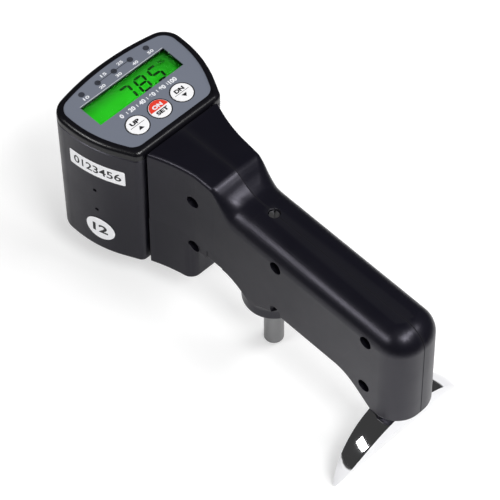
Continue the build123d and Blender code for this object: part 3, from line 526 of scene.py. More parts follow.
# %% Give each CAD node its finish
NODE_FINISH = {
    MOULDING: ("head_body", "battery_cover"),
    HANDLE_MOULDING: ("handle_half_left", "handle_half_right"),
    RIM_PLASTIC: ("head_bezel", "key_switches"),
    FACE_FILM: ("overlay_panel",),
    STEEL: (
        "frame", "indenter_plunger", "main_spring", "load_adjuster", "lock_nut", "lever", "lever_pin",
        "sensor_stem", "sensor_body",
    ),
    SLEEVE_STEEL: ("indenter_sleeve",),
    BLACK_STEEL: ("case_screws", "board_screws", "head_screws", "battery_cover_screw", "leg_screws"),
    PLATING: ("leg",),
    ALLOY: ("sensor_bracket",),
    LABEL_PAPER: ("number_label", "round_label"),
    KEY_WHITE: ("key_left", "key_centre", "key_right"),
    SMOKED: ("status_lights",),
    WHITE_PLASTIC: ("backlight", "battery_holder"),
    BOARD_GREEN: ("main_board",),
    CELL_FOIL: ("battery_cells",),
    LIT_DISPLAY: ("lcd_glass",),
    CLEAR_LENS: ("display_window",),
}
for material, names in NODE_FINISH.items():
    for name in names:
        nodes[name].data.materials.clear()
        nodes[name].data.materials.append(material)
print("dressed:", sum(len(names) for names in NODE_FINISH.values()), "of", len(nodes))

# %% [markdown]
# ## Prints on the face
#
# The face film carries a row of numbered lights and a scale below the window, and a thin white strip
# along the window's far edge is a painted highlight. Such a print could be a picture wrapped on the
# film, but a picture blurs up close. Here each mark is a thin film of ink with a shape of its own. It
# is drawn flat, then laid on the face by a point, a reading direction and an upward direction.

# %% Ink tools
INK_LIFT = 0.02 * MM
FACE_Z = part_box("overlay_panel")[1][2]
FACE_RIGHT, FACE_UP = Vector((0, 1, 0)), Vector((-1, 0, 0))


def adopt(name, mesh, material, body):
    """Links a finished mesh as a piece that rides on a body."""
    piece = new_object(name, mesh)
    piece.data.materials.clear()
    piece.data.materials.append(material)
    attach(piece, body)
    return piece


def outline_mesh(name, loops):
    """Flat mesh in X and Y (mm) from lists of corner points."""
    form = bmesh.new()
    for loop in loops:
        form.faces.new([form.verts.new((x * MM, y * MM, 0)) for x, y in loop])
    return mesh_of(form, name)


def text_mesh(text, height, width=None, weight=0.0):
    """Flat lettering in X and Y, centred, with its height and width in mm."""
    curve = bpy.data.curves.new("lettering", "FONT")
    curve.body = text
    curve.offset = weight
    holder = new_object("lettering", curve)
    mesh = bpy.data.meshes.new_from_object(holder)
    bpy.data.objects.remove(holder)
    bpy.data.curves.remove(curve)
    xs, ys = ([v.co[axis] for v in mesh.vertices] for axis in (0, 1))
    tall = height * MM / (max(ys) - min(ys))
    wide = tall if width is None else width * MM / (max(xs) - min(xs))
    middle = ((max(xs) + min(xs)) / 2, (max(ys) + min(ys)) / 2)
    for vertex in mesh.vertices:
        vertex.co = ((vertex.co.x - middle[0]) * wide, (vertex.co.y - middle[1]) * tall, 0)
    return mesh


def lay(mesh, at, right, up, lift=INK_LIFT):
    """Moves a flat mesh to a point (mm) in the frame of `right` and `up`, raised by `lift`."""
    normal = right.cross(up)
    turn = Matrix((right, up, normal)).transposed().to_4x4()
    mesh.transform(Matrix.Translation(Vector(at) * MM + normal * lift) @ turn)
    return mesh


def face_print(name, mesh, x, y, material, body="case", z=FACE_Z / MM):
    """Ink on the face of the head, read from the grip."""
    return adopt(name, lay(mesh, (x, y, z), FACE_RIGHT, FACE_UP), material, body)


def bar_loop(x, y):
    """Corners of a flat bar from its (low, high) pairs."""
    return [(x[0], y[0]), (x[1], y[0]), (x[1], y[1]), (x[0], y[1])]


print("face at", round(FACE_Z / MM, 2), "mm")

# %% Number the lights
LIGHT_X, LINK_HALF_LENGTH, LINK_HALF_WIDTH = -88.52, 8.4, 0.13
LIGHT_TALL, LIGHT_WIDE, LIGHT_WEIGHT = 1.4, 2.7, 0.03
LIGHT_NUMBERS = (
    ("light_number_1", "10", -86.0, -16.6),
    ("light_number_2", "20", -85.9, -8.3),
    ("light_number_3", "30", -85.9, 0.2),
    ("light_number_4", "40", -85.85, 8.7),
    ("light_number_5", "50", -85.9, 16.8),
    ("light_number_6", "15", -90.0, -4.1),
    ("light_number_7", "25", -90.0, 4.4),
)
for name, text, x, y in LIGHT_NUMBERS:
    face_print(name, text_mesh(text, LIGHT_TALL, LIGHT_WIDE, LIGHT_WEIGHT), x, y, WHITE_INK)
link = bar_loop((-LINK_HALF_LENGTH, LINK_HALF_LENGTH), (-LINK_HALF_WIDTH, LINK_HALF_WIDTH))
face_print("light_link", outline_mesh("light_link", [link]), LIGHT_X, 0.0, BLACK_INK)
print("light numbers:", len(LIGHT_NUMBERS))

# %% Print the scale
SCALE_TEXT = ("0", "20", "40", "60", "80", "100")
SCALE_TALL, SCALE_WEIGHT = 2.1, 0.045
SCALE_START, SCALE_STEP, SCALE_X, SCALE_LEAN = -13.0, 5.2, -69.85, 0.08
TICK_X, TICK_HALF_WIDTH, TICK_HALF_LENGTH = -69.65, 0.16, 0.7
# A thin white strip along the window's far edge is a painted highlight on the film's cut edge.
HIGHLIGHT_HALF, HIGHLIGHT_WIDTH = 21.5, 0.16
for n, text in enumerate(SCALE_TEXT):
    x, y = SCALE_X + SCALE_LEAN * n, SCALE_START + SCALE_STEP * n
    face_print("scale_number_" + text, text_mesh(text, SCALE_TALL, None, SCALE_WEIGHT), x, y, WHITE_INK)
scale_ticks = []
for n in range(1, 2 * len(SCALE_TEXT) - 2, 2):
    middle = SCALE_START + SCALE_STEP / 2 * n
    across = (middle - TICK_HALF_WIDTH, middle + TICK_HALF_WIDTH)
    scale_ticks.append(bar_loop(across, (-TICK_HALF_LENGTH, TICK_HALF_LENGTH)))
face_print("scale_ticks", outline_mesh("scale_ticks", scale_ticks), TICK_X, 0.0, WHITE_INK)
# Painted highlight along the window's far edge.
window_edge = outline_mesh("window_edge", [bar_loop((-HIGHLIGHT_HALF, HIGHLIGHT_HALF), (0.0, HIGHLIGHT_WIDTH))])
face_print("window_edge", window_edge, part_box("display_window")[0][0] / MM - HIGHLIGHT_WIDTH, 0.0, WHITE_INK)
print("scale numbers:", len(SCALE_TEXT), "ticks:", len(scale_ticks))

# %% [markdown]
# ## Prints on the keys
#
# Each key sits in a thin black ring laid on the film around its hole. The outer keys carry a word and an
# arrow, and the middle one is half red. A key's own marks could lie on the film like its ring, but
# then they would stay behind when the key goes down. So they ride on the key's body.

# %% Marks of a key
KEY_RADIUS, RING_GAP, RING_REACH, RED_EDGE = 4.5, 0.06, 0.5, 0.22
WORD_TALL, LINE_HALF_LENGTH, LINE_HALF_WIDTH = 1.9, 3.5, 0.11
OVER_RED = 0.02
UP_MARK = [(-1.3, -0.8), (1.3, -0.8), (0.0, 0.9)]
DOWN_MARK = [(-1.3, 0.8), (0.0, -0.9), (1.3, 0.8)]


def ring_loops(inner, outer, count=48):
    """Four-cornered loops that make a flat ring."""
    turns = [2 * pi * n / count for n in range(count + 1)]
    return [
        [(inner * cos(a), inner * sin(a)), (outer * cos(a), outer * sin(a)),
         (outer * cos(b), outer * sin(b)), (inner * cos(b), inner * sin(b))]
        for a, b in zip(turns, turns[1:])
    ]


def half_disc(radius, count=40):
    """Upper half of a disc."""
    return [(radius * cos(pi * n / count), radius * sin(pi * n / count)) for n in range(count + 1)]


def key_marks(node):
    """Prints on top of a key: name's end, mesh, shift in x and y, ink, extra lift."""
    if node == "key_centre":
        red = outline_mesh("red", [half_disc(KEY_RADIUS - RED_EDGE)])
        return (
            ("_red", red, 0.0, 0.0, KEY_RED, 0.0),
            ("_upper", text_mesh("ON", WORD_TALL, 4.6, 0.05), -1.5, 0.0, WHITE_INK, OVER_RED),
            ("_lower", text_mesh("SET", WORD_TALL, 5.6, 0.05), 1.55, 0.0, BLACK_INK, 0.0),
        )
    mark, text = (UP_MARK, "UP") if node == "key_left" else (DOWN_MARK, "DN")
    line = bar_loop((-LINE_HALF_LENGTH, LINE_HALF_LENGTH), (-LINE_HALF_WIDTH, LINE_HALF_WIDTH))
    return (
        ("_text", text_mesh(text, WORD_TALL, 4.4, 0.055), -1.5, -0.1, BLACK_INK, 0.0),
        ("_line", outline_mesh("line", [line]), 0.05, 0.0, BLACK_INK, 0.0),
        ("_mark", outline_mesh("mark", [mark]), 1.85, 0.0, BLACK_INK, 0.0),
    )


print("key radius:", KEY_RADIUS)

# %% Print the keys
KEYS = (("key_left", "key_a"), ("key_centre", "key_b"), ("key_right", "key_c"))
for node, body in KEYS:
    low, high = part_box(node)
    x, y = (low[0] + high[0]) / 2 / MM, (low[1] + high[1]) / 2 / MM
    top = high[2] / MM
    # A thin black ring on the film round the key's hole, right at its gap.
    ring = outline_mesh("ring", ring_loops(KEY_RADIUS + RING_GAP, KEY_RADIUS + RING_REACH))
    face_print(node + "_ring", ring, x, y, BLACK_INK)
    for end, mesh, right, up, ink, lift in key_marks(node):
        face_print(node + end, mesh, x + right, y + up, ink, body, top + lift)
print("keys printed:", len(KEYS))

# %% [markdown]
# ## Reading on the display
#
# A seven-segment reading is one bar, copied to wherever a bar is lit. The bars could be drawn one by
# one. Geometry Nodes place the copies instead: each point carries the turn and the size of its bar,
# so one tree makes any reading. Realize Instances then turns the copies into plain faces.

# %% Node group that places copies
def make_copies_group():
    """Geometry Nodes group: an object on each point, turned and sized, then one mesh."""
    group = bpy.data.node_groups.new("place_copies", "GeometryNodeTree")
    sockets = {}
    for label, kind in (("Points", "Geometry"), ("Copy", "Object"), ("Material", "Material")):
        socket = group.interface.new_socket(label, in_out="INPUT", socket_type="NodeSocket" + kind)
        sockets[label] = socket.identifier
    group.interface.new_socket("Copies", in_out="OUTPUT", socket_type="NodeSocketGeometry")
    given = add_node(group, "NodeGroupInput").outputs
    made = add_node(group, "NodeGroupOutput").inputs
    source = add_node(group, "GeometryNodeObjectInfo", {"Object": given["Copy"]})
    turn, size = (
        add_node(group, "GeometryNodeInputNamedAttribute", {"Name": label}, data_type="FLOAT_VECTOR")
        for label in ("turn", "size")
    )
    where = {
        "Points": given["Points"],
        "Instance": source.outputs["Geometry"],
        "Rotation": turn.outputs["Attribute"],
        "Scale": size.outputs["Attribute"],
    }
    placed = add_node(group, "GeometryNodeInstanceOnPoints", where)
    whole = add_node(group, "GeometryNodeRealizeInstances", {0: placed.outputs[0]})
    inked = {"Geometry": whole.outputs[0], "Material": given["Material"]}
    finished = add_node(group, "GeometryNodeSetMaterial", inked)
    group.links.new(finished.outputs[0], made[0])
    return group, sockets


COPIES, COPY_SOCKETS = make_copies_group()
print("group:", COPIES.name, "inputs:", list(COPY_SOCKETS))

# %% Place copies
def settled_mesh(name, holder, *others):
    """Plain mesh of an object with its modifiers applied. The object and the others go."""
    bpy.context.view_layer.update()
    ready = holder.evaluated_get(bpy.context.evaluated_depsgraph_get())
    mesh = bpy.data.meshes.new_from_object(ready)
    mesh.name = name
    holder.modifiers.clear()
    for item in (holder, *others):
        bpy.data.objects.remove(item)
    return mesh


def place_copies(name, mesh, spots, material):
    """Mesh of `mesh` copied to spots, each (place in metres, turn in radians, size)."""
    points = bpy.data.meshes.new(name + "_points")
    points.from_pydata([place for place, turn, size in spots], [], [])
    for label, index in (("turn", 1), ("size", 2)):
        layer = points.attributes.new(label, "FLOAT_VECTOR", "POINT")
        for item, spot in zip(layer.data, spots):
            item.vector = spot[index]
    holder = new_object(name + "_points", points)
    source = new_object(name + "_copy", mesh)
    step = holder.modifiers.new("copies", "NODES")
    step.node_group = COPIES
    step[COPY_SOCKETS["Copy"]] = source
    step[COPY_SOCKETS["Material"]] = material
    return settled_mesh(name, holder, source)


print("copies are placed on points")

# %% Light the reading
SEGMENTS = {
    # bar: across, along, upright or not
    "a": (0.0, 1.0, 0), "b": (0.5, 0.5, 1), "c": (0.5, -0.5, 1), "d": (0.0, -1.0, 0),
    "e": (-0.5, -0.5, 1), "f": (-0.5, 0.5, 1), "g": (0.0, 0.0, 0),
}
DIGITS = {"7": "abc", "8": "abcdefg", "5": "afgcd"}
READING = (("7", -2.0), ("8", 5.4), ("5", 12.6))
DIGIT_X, DIGIT_WIDE, DIGIT_TALL, DIGIT_SLANT = -78.05, 4.3, 3.55, 0.1
UPRIGHT_FILL, LEVEL_FILL, BAR_THICKNESS = 0.9, 0.86, 4.0
GLASS_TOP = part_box("lcd_glass")[1][2]


def segment_mesh():
    """One bar of the reading, a millimetre long, with pointed ends."""
    half, thick = 0.5, 0.13
    shoulder = half - thick
    upper = [(shoulder, thick), (-shoulder, thick)]
    lower = [(-shoulder, -thick), (shoulder, -thick)]
    return outline_mesh("segment", [[(-half, 0), *lower, (half, 0), *upper]])


segment_spots = []
for digit, middle in READING:
    for label in DIGITS[digit]:
        across, along, upright = SEGMENTS[label]
        right = across * DIGIT_WIDE + along * DIGIT_TALL * DIGIT_SLANT
        place = ((DIGIT_X - along * DIGIT_TALL) * MM, (middle + right) * MM, GLASS_TOP + INK_LIFT)
        lean = atan2(DIGIT_SLANT, 1.0) if upright else 0.0
        turn = (0, 0, pi / 2 + (pi / 2 if upright else 0.0) - lean)
        length = DIGIT_TALL * UPRIGHT_FILL if upright else DIGIT_WIDE * LEVEL_FILL
        segment_spots.append((place, turn, (length, BAR_THICKNESS, 1.0)))
reading = place_copies("reading", segment_mesh(), segment_spots, SEGMENT_INK)
adopt("reading", reading, SEGMENT_INK, "case")
for name, text, x, y, tall, wide in (
    ("reading_point", ".", -74.6, 9.1, 0.7, 0.7),
    ("reading_unit", "%", -81.2, 17.8, 1.9, 2.6),
):
    mesh = lay(text_mesh(text, tall, wide, 0.01), (x, y, GLASS_TOP / MM), FACE_RIGHT, FACE_UP)
    adopt(name, mesh, SEGMENT_INK, "case")
print("segments lit:", len(segment_spots))

# %% [markdown]
# ## Labels on the left wall
#
# Two paper labels are stuck on the head's left wall and follow its curve, and so does their ink.
# They could be pieces cut from the wall itself, but then each would carry the wall's coarse faces.
# Here a flat sheet is divided finely, held in front of the wall, and every point of it is let down
# onto what lies behind it.

# %% Tools for labels
WALL_RIGHT, WALL_UP, INTO_WALL = Vector((1, 0, 0)), Vector((0, 0, 1)), Vector((0, 1, 0))
MOST_DIVISIONS = 6


def let_down(mesh, node, direction, lift):
    """Drops each point along a direction onto a node, and lifts it a little off the surface."""
    wall = bvhtree.BVHTree.FromPolygons(
        [v.co for v in nodes[node].data.vertices], [p.vertices for p in nodes[node].data.polygons]
    )
    for vertex in mesh.vertices:
        hit = wall.ray_cast(vertex.co, direction)[0]
        if hit is None:
            hit = wall.find_nearest(vertex.co)[0]
        vertex.co = hit - direction * lift
    return mesh


def finely(mesh, cut=0.5):
    """Divides a flat mesh so that it can bend."""
    form = bmesh.new()
    form.from_mesh(mesh)
    bmesh.ops.triangulate(form, faces=form.faces)
    for turn in range(MOST_DIVISIONS):
        long = [edge for edge in form.edges if edge.calc_length() > cut * MM]
        if not long:
            break
        bmesh.ops.subdivide_edges(form, edges=long, cuts=1)
        bmesh.ops.triangulate(form, faces=form.faces)
    form.to_mesh(mesh)
    form.free()
    return mesh


def rounded_outline(half_x, half_y, turn, steps=8):
    """Corner points of a rounded rectangle."""
    points = []
    for sx, sy, quarter in ((1, 1, 0), (-1, 1, 1), (-1, -1, 2), (1, -1, 3)):
        for k in range(steps + 1):
            angle = pi / 2 * (quarter + k / steps)
            x, y = sx * (half_x - turn) + turn * cos(angle), sy * (half_y - turn) + turn * sin(angle)
            points.append((x, y))
    return points


print("label tools ready")

# %% Stick and print the labels
IN_FRONT = -45.0
STICKER_LIFT, DIGITS_OVER_STICKER, DIGITS_OVER_PAPER = 0.12 * MM, 0.16 * MM, 0.03 * MM
STICKER_CUT, ROUND_STEPS = 1.2, 64
NUMBER_AT, NUMBER_HALVES, NUMBER_TURN = (-68.65, IN_FRONT, 68.75), (12.0, 4.2), 0.8
ROUND_AT, ROUND_RADIUS = (-68.49, IN_FRONT, 31.0), 6.3
LABEL_DIGITS = (
    # name, lies on, digits, height, width, weight, place, lift
    ("label_digits", "head_body", "0123456", 4.3, 20.4, 0.012, (-68.3, IN_FRONT, 68.75), DIGITS_OVER_STICKER),
    ("round_label_digits", "round_label", "12", 4.9, 6.6, 0.03, (-68.4, IN_FRONT, 31.0), DIGITS_OVER_PAPER),
)
for name, node, text, tall, wide, weight, at, lift in LABEL_DIGITS:
    ink = finely(lay(text_mesh(text, tall, wide, weight), at, WALL_RIGHT, WALL_UP))
    adopt(name, let_down(ink, node, INTO_WALL, lift), BLACK_INK, "case")


def sticker(name, loop, at, node, lift):
    """Paper label from its outline, let down onto a node."""
    paper = finely(lay(outline_mesh(name, [loop]), at, WALL_RIGHT, WALL_UP), STICKER_CUT)
    return adopt(name, let_down(paper, node, INTO_WALL, lift), LABEL_PAPER, "case")


number_outline = rounded_outline(*NUMBER_HALVES, NUMBER_TURN)
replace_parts(sticker("number_sticker", number_outline, NUMBER_AT, "head_body", STICKER_LIFT), "number_label")
turns = [2 * pi * n / ROUND_STEPS for n in range(ROUND_STEPS)]
disc = [(ROUND_RADIUS * cos(a), ROUND_RADIUS * sin(a)) for a in turns]
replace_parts(sticker("round_sticker", disc, ROUND_AT, "round_label", 0.0), "round_label")
print("labels: 2, with", " and ".join(row[2] for row in LABEL_DIGITS))

# %% [markdown]
# ## Black border of the face
#
# The film's corners are rounder than the head's, so the black rim shows fuller beside the seam to
# the handle. The rim itself could be reshaped, but it fits the head's body all round. A thin black
# film of its own fills just these corners: a strip along the seam, and a fan of triangles in each
# corner.

# %% Lay the border
SEAM_SIDE = (-54.5, -53.9)
BORDER_AT, BORDER_TURN, BORDER_ANGLE, BORDER_STEPS = (-60.3, 16.45), 5.8, 63.3, 12
BORDER_CORNER = (-53.9, 19.72)
border = [bar_loop(SEAM_SIDE, (-BORDER_AT[1], BORDER_AT[1]))]
for side in (1, -1):
    rim = [(SEAM_SIDE[1], side * BORDER_AT[1])]
    for k in range(BORDER_STEPS + 1):
        angle = radians(BORDER_ANGLE * k / BORDER_STEPS)
        x, y = BORDER_AT[0] + BORDER_TURN * cos(angle), BORDER_AT[1] + BORDER_TURN * sin(angle)
        rim.append((x, side * y))
    corner = (BORDER_CORNER[0], side * BORDER_CORNER[1])
    border += [[corner, a, b][::side] for a, b in zip(rim, rim[1:])]
border_mesh = outline_mesh("face_border", border)
border_mesh.transform(Matrix.Translation((0, 0, FACE_Z + INK_LIFT)))
adopt("face_border", border_mesh, RIM_PLASTIC, "case")
print("face border:", len(border), "faces")

# %% [markdown]
# ## Shoulder of the handle
#
# The block behind the head falls to the grip in one soft sweep, with a slightly pitched ridge and
# corners that open out along the fall. A loft through a few sections leaves creases there, and a
# subdivision surface would round what should stay tight. So the upper part is drawn as a run of many
# cross-sections, whose width, height, rounding and pitch each follow a curve of their own. Each
# moulding keeps its lower part, its tail and its openings.

# %% Sizes of the shoulder, in mm
SEAM_X, SHOULDER_BACK, SHOULDER_LOW = -50.2, -3.5, 46.0
SEAM_HALF, FLARE_MID, FLARE_END = 18.7, (-40.1, 15.18), (-30.0, 13.2)
GRIP_HALF, GRIP_EASE, WALL = 12.7, 10.0, 2.0
BLOCK_TURN, GRIP_TURN, LEAST_TURN, TURN_START, TURN_SPAN = 1.9, 9.3, 0.4, -22.5, 13.0
PITCH, PITCH_START, PITCH_RISE, PITCH_END, PITCH_FALL = 0.8, -30.0, 8.0, -7.0, 9.0
FALL = (
    (-50.2, 85.2), (-26.0, 86.0), (-23.2, 86.06), (-21.6, 85.98), (-20.2, 85.55), (-18.2, 84.3),
    (-15.5, 82.2), (-12.4, 80.35), (-9.8, 79.4), (-7.2, 79.06), (-5.2, 79.0), (-3.5, 79.0), (0.0, 79.0),
)
print("shoulder from x", SEAM_X, "to", SHOULDER_BACK, "above z", SHOULDER_LOW)

# %% Width of the block
def circle_through(a, b, c):
    """Centre and radius of the circle through three points."""
    d = 2 * (a[0] * (b[1] - c[1]) + b[0] * (c[1] - a[1]) + c[0] * (a[1] - b[1]))
    sums = [p[0] ** 2 + p[1] ** 2 for p in (a, b, c)]
    x = (sums[0] * (b[1] - c[1]) + sums[1] * (c[1] - a[1]) + sums[2] * (a[1] - b[1])) / d
    y = (sums[0] * (c[0] - b[0]) + sums[1] * (a[0] - c[0]) + sums[2] * (b[0] - a[0])) / d
    return x, y, ((a[0] - x) ** 2 + (a[1] - y) ** 2) ** 0.5


FLARE = circle_through((SEAM_X, SEAM_HALF), FLARE_MID, FLARE_END)


def half_at(x):
    """Half width of the block and the grip."""
    if x <= FLARE_END[0]:
        return FLARE[1] - (FLARE[2] ** 2 - (x - FLARE[0]) ** 2) ** 0.5
    return FLARE_END[1] + (GRIP_HALF - FLARE_END[1]) * min(1.0, (x - FLARE_END[0]) / GRIP_EASE)


print("flare radius:", round(FLARE[2], 1), "mm")

# %% Height, rounding and pitch
def fall_slopes():
    """Slopes at the points of the fall that give a sweep without bumps."""
    steps = [(b[1] - a[1]) / (b[0] - a[0]) for a, b in zip(FALL, FALL[1:])]
    slopes = [steps[0]]
    for before, after in zip(steps, steps[1:]):
        slopes.append(0.0 if before * after <= 0 else 2 * before * after / (before + after))
    return slopes + [steps[-1]]


FALL_SLOPES = fall_slopes()


def top_at(x):
    """Height of the middle line: roof, ridge, fall and grip."""
    n = max(i for i in range(len(FALL) - 1) if FALL[i][0] <= x + 1e-9)
    (x0, z0), (x1, z1) = FALL[n], FALL[n + 1]
    span = x1 - x0
    t = (x - x0) / span
    rise = (2 * t**3 - 3 * t**2 + 1) * z0 + (-2 * t**3 + 3 * t**2) * z1
    return rise + span * ((t**3 - 2 * t**2 + t) * FALL_SLOPES[n] + (t**3 - t**2) * FALL_SLOPES[n + 1])


def eased(t):
    """0 to 1 with a soft start and a soft end."""
    t = min(1.0, max(0.0, t))
    return t * t * (3 - 2 * t)


def turn_at(x):
    """Rounding of the top edges: tight on the block, full on the grip."""
    return BLOCK_TURN + (GRIP_TURN - BLOCK_TURN) * eased((x - TURN_START) / TURN_SPAN)


def pitch_at(x):
    """How much lower the edge of the roof is than its middle line."""
    return PITCH * eased((x - PITCH_START) / PITCH_RISE) * eased((PITCH_END - x) / PITCH_FALL)


print("ridge at z", round(max(top_at(point[0]) for point in FALL), 2))

# %% Solid through the cross-sections
ROOF_STEPS, TURN_STEPS = 5, 14
BELOW_TURN, BELOW_HALF = 3.0, 4.0


def shoulder_line(x, cut, inset, low, middle):
    """Points in Y and Z of half a cross-section, from the middle of the roof down and back."""
    half, top, turn = half_at(x) - cut, top_at(x) - cut, max(turn_at(x) - inset, LEAST_TURN)
    pitch = pitch_at(x) * (1 - (turn / half) ** 2)
    line = [(middle, top)]
    for k in range(1, ROOF_STEPS):
        line.append((-(half - turn) * k / ROOF_STEPS, top - pitch * k / ROOF_STEPS))
    top -= pitch
    for k in range(TURN_STEPS + 1):
        angle = pi / 2 + pi / 2 * k / TURN_STEPS
        line.append((-(half - turn) + turn * cos(angle), top - turn + turn * sin(angle)))
    line += [(-half, z) for z in (top - turn - BELOW_TURN, (top + low) / 2 - BELOW_HALF, low)]
    return line + [(middle, low)]


def shoulder_solid(places, inset, low, middle, bevel=0.0):
    """Closed half body between y = middle and the left side, through cross-sections."""
    form = bmesh.new()
    rings = []
    for n, x in enumerate(places):
        line = shoulder_line(x, inset + (bevel if n == 0 else 0.0), inset, low, middle)
        rings.append([form.verts.new((x * MM, y * MM, z * MM)) for y, z in line])
    for near, far in zip(rings, rings[1:]):
        for k in range(len(near)):
            j = (k + 1) % len(near)
            form.faces.new((near[k], near[j], far[j], far[k]))
    form.faces.new(rings[0])
    form.faces.new(rings[-1])
    bmesh.ops.recalc_face_normals(form, faces=form.faces)
    return mesh_of(form, "shoulder")


print("points in a cross-section:", len(shoulder_line(SEAM_X, 0.0, 0.0, SHOULDER_LOW, 0.0)))

# %% [markdown]
# ## Screw recesses
#
# The left moulding is held by screws that sit deep in round recesses. A recess could be painted as a
# dark disc, but from the side it has to have depth. So it is cut: where the wall would be too thin,
# a post is joined to it first, and then the bore is taken out, down to the floor of the recess.

# %% Bars and Booleans
RECESS_RADIUS, RECESS_FLOOR, POST_RADIUS, POST_WALL = 2.8, -7.0, 3.4, 0.35
BORE_START, POST_START, LOW_POST_START = -30.0, -12.0, -13.2
POST_END, BORE_END = RECESS_FLOOR + 0.5, RECESS_FLOOR - 0.02
RECESS_AT, LOW_RECESS = (-30.7, 69.0), (-30.7, 41.4)
MOUTHS = ((13.5, 69.0), (61.0, 69.0), LOW_RECESS, (13.5, 41.4), (61.0, 41.4))


def rod_mesh(radius, y, at, sides=64):
    """Closed round bar along Y, at (x, z)."""
    form = bmesh.new()
    ends = {"radius1": radius * MM, "radius2": radius * MM, "depth": (y[1] - y[0]) * MM}
    bmesh.ops.create_cone(form, cap_ends=True, segments=sides, **ends)
    turn = Matrix.Rotation(pi / 2, 4, "X")
    form.transform(Matrix.Translation(Vector((at[0], (y[0] + y[1]) / 2, at[1])) * MM) @ turn)
    return mesh_of(form, "rod")


def combined(mesh, other, operation):
    """Result of a Boolean between two closed meshes."""
    holder, tool = new_object("holder", mesh), new_object("tool", other)
    step = holder.modifiers.new("cut", "BOOLEAN")
    step.operation, step.solver, step.object = operation, "EXACT", tool
    return settled_mesh("combined", holder, tool)


print("recesses:", 1 + len(MOUTHS), "of radius", RECESS_RADIUS)

# %% Upper part of a moulding
FINE_FROM, FINE_TO = -25.0, -16.0
FINE_STEP, MIDDLE_STEP, WIDE_STEP = 0.25, 0.5, 0.9
SEAM_BEVEL = 0.3


def stations(start, end):
    """Places along X, close together where the surface turns."""
    places = [start]
    while places[-1] < end - 1e-6:
        x = places[-1]
        step = FINE_STEP if FINE_FROM < x < FINE_TO else MIDDLE_STEP if x > FINE_TO else WIDE_STEP
        places.append(min(end, x + step))
    return places


def shoulder_half(with_recess):
    """Left upper part of the handle as a moulding with its wall."""
    outer = [SEAM_X] + stations(SEAM_X + SEAM_BEVEL, SHOULDER_BACK)
    inner = stations(SEAM_X + WALL, SHOULDER_BACK + 1.0)
    shell = shoulder_solid(outer, 0.0, SHOULDER_LOW, 0.0, SEAM_BEVEL)
    shell = combined(shell, shoulder_solid(inner, WALL, SHOULDER_LOW - 1.0, 1.0), "DIFFERENCE")
    if with_recess:
        shell = combined(shell, rod_mesh(POST_RADIUS, (POST_START, POST_END), RECESS_AT), "UNION")
        shell = combined(shell, rod_mesh(RECESS_RADIUS, (BORE_START, BORE_END), RECESS_AT), "DIFFERENCE")
    return shell


left_upper, right_upper = shoulder_half(True), shoulder_half(False)
right_upper.transform(Matrix.Diagonal((1, -1, 1, 1)))
right_upper.flip_normals()
print("upper parts:", len(left_upper.polygons), "and", len(right_upper.polygons), "faces")

# %% Lower part of a moulding
WELD, CUT_EXACT, SHARP = 1e-7, 1e-8, radians(28)


def welded(mesh):
    """Bmesh of a CAD node's mesh, with its loose triangles merged."""
    form = bmesh.new()
    form.from_mesh(mesh)
    bmesh.ops.remove_doubles(form, verts=form.verts, dist=WELD)
    return form


def scored(form, place, normal):
    """Cuts the faces along a plane and keeps both sides."""
    whole = [*form.verts, *form.edges, *form.faces]
    bmesh.ops.bisect_plane(form, geom=whole, dist=CUT_EXACT, plane_co=place, plane_no=normal)


def without_shoulder(node):
    """Copy of a moulding without its upper part behind the head, and with its recesses."""
    form = welded(nodes[node].data)
    if node == "handle_half_left":
        post = rod_mesh(RECESS_RADIUS + POST_WALL, (LOW_POST_START, POST_END), LOW_RECESS)
        mesh = combined(mesh_of(form, "moulding"), post, "UNION")
        for at in MOUTHS:
            mesh = combined(mesh, rod_mesh(RECESS_RADIUS, (BORE_START, BORE_END), at, 48), "DIFFERENCE")
        form = bmesh.new()
        form.from_mesh(mesh)
    scored(form, (SHOULDER_BACK * MM, 0, 0), (1, 0, 0))
    scored(form, (0, 0, SHOULDER_LOW * MM), (0, 0, 1))
    upper = []
    for face in form.faces:
        middle = face.calc_center_median() / MM
        if middle.x < SHOULDER_BACK and middle.z > SHOULDER_LOW:
            upper.append(face)
    bmesh.ops.delete(form, geom=upper, context="FACES")
    return form


def smooth_mesh(form, name):
    """Mesh of a bmesh that is smooth except at its sharp edges."""
    for face in form.faces:
        face.smooth = True
    for edge in form.edges:
        edge.smooth = len(edge.link_faces) != 2 or edge.calc_face_angle(0.0) < SHARP
    return mesh_of(form, name)


print("edges stay sharp above", round(SHARP * 180 / pi), "degrees")

# %% Build both mouldings
NORMAL_WEIGHT = 60


def shell_mesh(name, node, upper):
    """One moulding: what the CAD gives below and behind, and the shoulder above."""
    form = without_shoulder(node)
    form.from_mesh(upper)
    holder = new_object("holder", smooth_mesh(form, name))
    step = holder.modifiers.new("normals", "WEIGHTED_NORMAL")
    step.mode, step.keep_sharp, step.weight = "FACE_AREA", True, NORMAL_WEIGHT
    return settled_mesh(name, holder)


for name, node, upper in (
    ("shell_left", "handle_half_left", left_upper),
    ("shell_right", "handle_half_right", right_upper),
):
    shell = adopt(name, shell_mesh(name, node, upper), HANDLE_MOULDING, "case")
    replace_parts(shell, node)
    print(name, "faces:", len(shell.data.polygons))

# %% [markdown]
# ## Crowned rim of the leg
#
# The plated leg is polished, which rounds its rim from side to side, so that a lamp shows in it as a
# spot and not as a straight band. A bump could hint at that, but the outline would stay flat. So the
# rim is cut into strips that follow its taper, and each strip sinks a little more the nearer it is
# to an edge. At the sole the crown fades out, so the leg still stands flat. The rim's height is read
# beside the neck, about a millimetre below its true top, so the crown's centre lies lower than the
# rim's own, and the neck and the hidden stem above it ease down a little too.

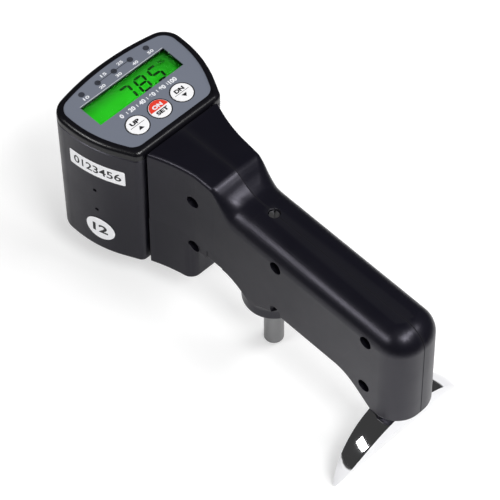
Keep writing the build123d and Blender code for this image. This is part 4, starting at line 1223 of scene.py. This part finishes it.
# %% Crown the leg
LEG_MIDDLE, LEG_LEAN, LEG_WIDTH, LEG_WIDENING = 66.3, 0.12, 2.5, 0.45
LEG_RADIUS, LEG_SLOPE, SOLE_EASE = 33.0, 0.25, 4.0
RIM_DEPTH, MOST_SHARE, STRIPS = 0.02, 1.3, 10
RIM_SIDE = 0.008
RIM_HEIGHT = max(v.co.z for v in nodes["leg"].data.vertices if abs(v.co.y) > RIM_SIDE) / MM


def crown_leg():
    """Copy of the leg whose rim falls away towards both edges, and how far a point sinks at most."""
    form = welded(nodes["leg"].data)
    for step in range(1 - STRIPS, STRIPS):
        share = step / STRIPS
        place = Vector((LEG_MIDDLE + share * LEG_WIDTH / 2, 0, 0)) * MM
        scored(form, place, Vector((1, 0, -(LEG_LEAN + share * LEG_WIDENING / 2))).normalized())
    hub = Vector((0, 0, RIM_HEIGHT - LEG_RADIUS))
    deepest = 0.0
    for vertex in form.verts:
        x, y, z = vertex.co / MM
        out = Vector((0, y, z)) - hub
        if out.length < LEG_RADIUS - RIM_DEPTH:
            continue
        width = LEG_WIDTH + LEG_WIDENING * z
        share = (x - LEG_MIDDLE - LEG_LEAN * z) * 2 / width
        sink = LEG_SLOPE * width / 4 * min(share * share, MOST_SHARE) * min(1.0, max(z, 0.0) / SOLE_EASE)
        vertex.co -= out.normalized() * sink * MM
        deepest = max(deepest, sink)
    return smooth_mesh(form, "leg_crowned"), deepest


leg_mesh, deepest_sink = crown_leg()
leg = adopt("leg_crowned", leg_mesh, PLATING, "case")
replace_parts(leg, "leg")
print("leg faces:", len(leg.data.polygons), "| a point sinks by up to", round(deepest_sink, 2), "mm")

# %% [markdown]
# ## Load spring
#
# The spring is squeezed between the plunger below and the load adjuster above. Riding on the plunger
# as a stiff piece, it would run up into the adjuster. A live spring of wire would need a simulation.
# It stays seated under the adjuster instead, as a copy of its mesh that rides on the case.

# %% Seat the spring
spring = adopt("load_spring", nodes["main_spring"].data.copy(), STEEL, "case")
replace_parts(spring, "main_spring")
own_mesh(spring)
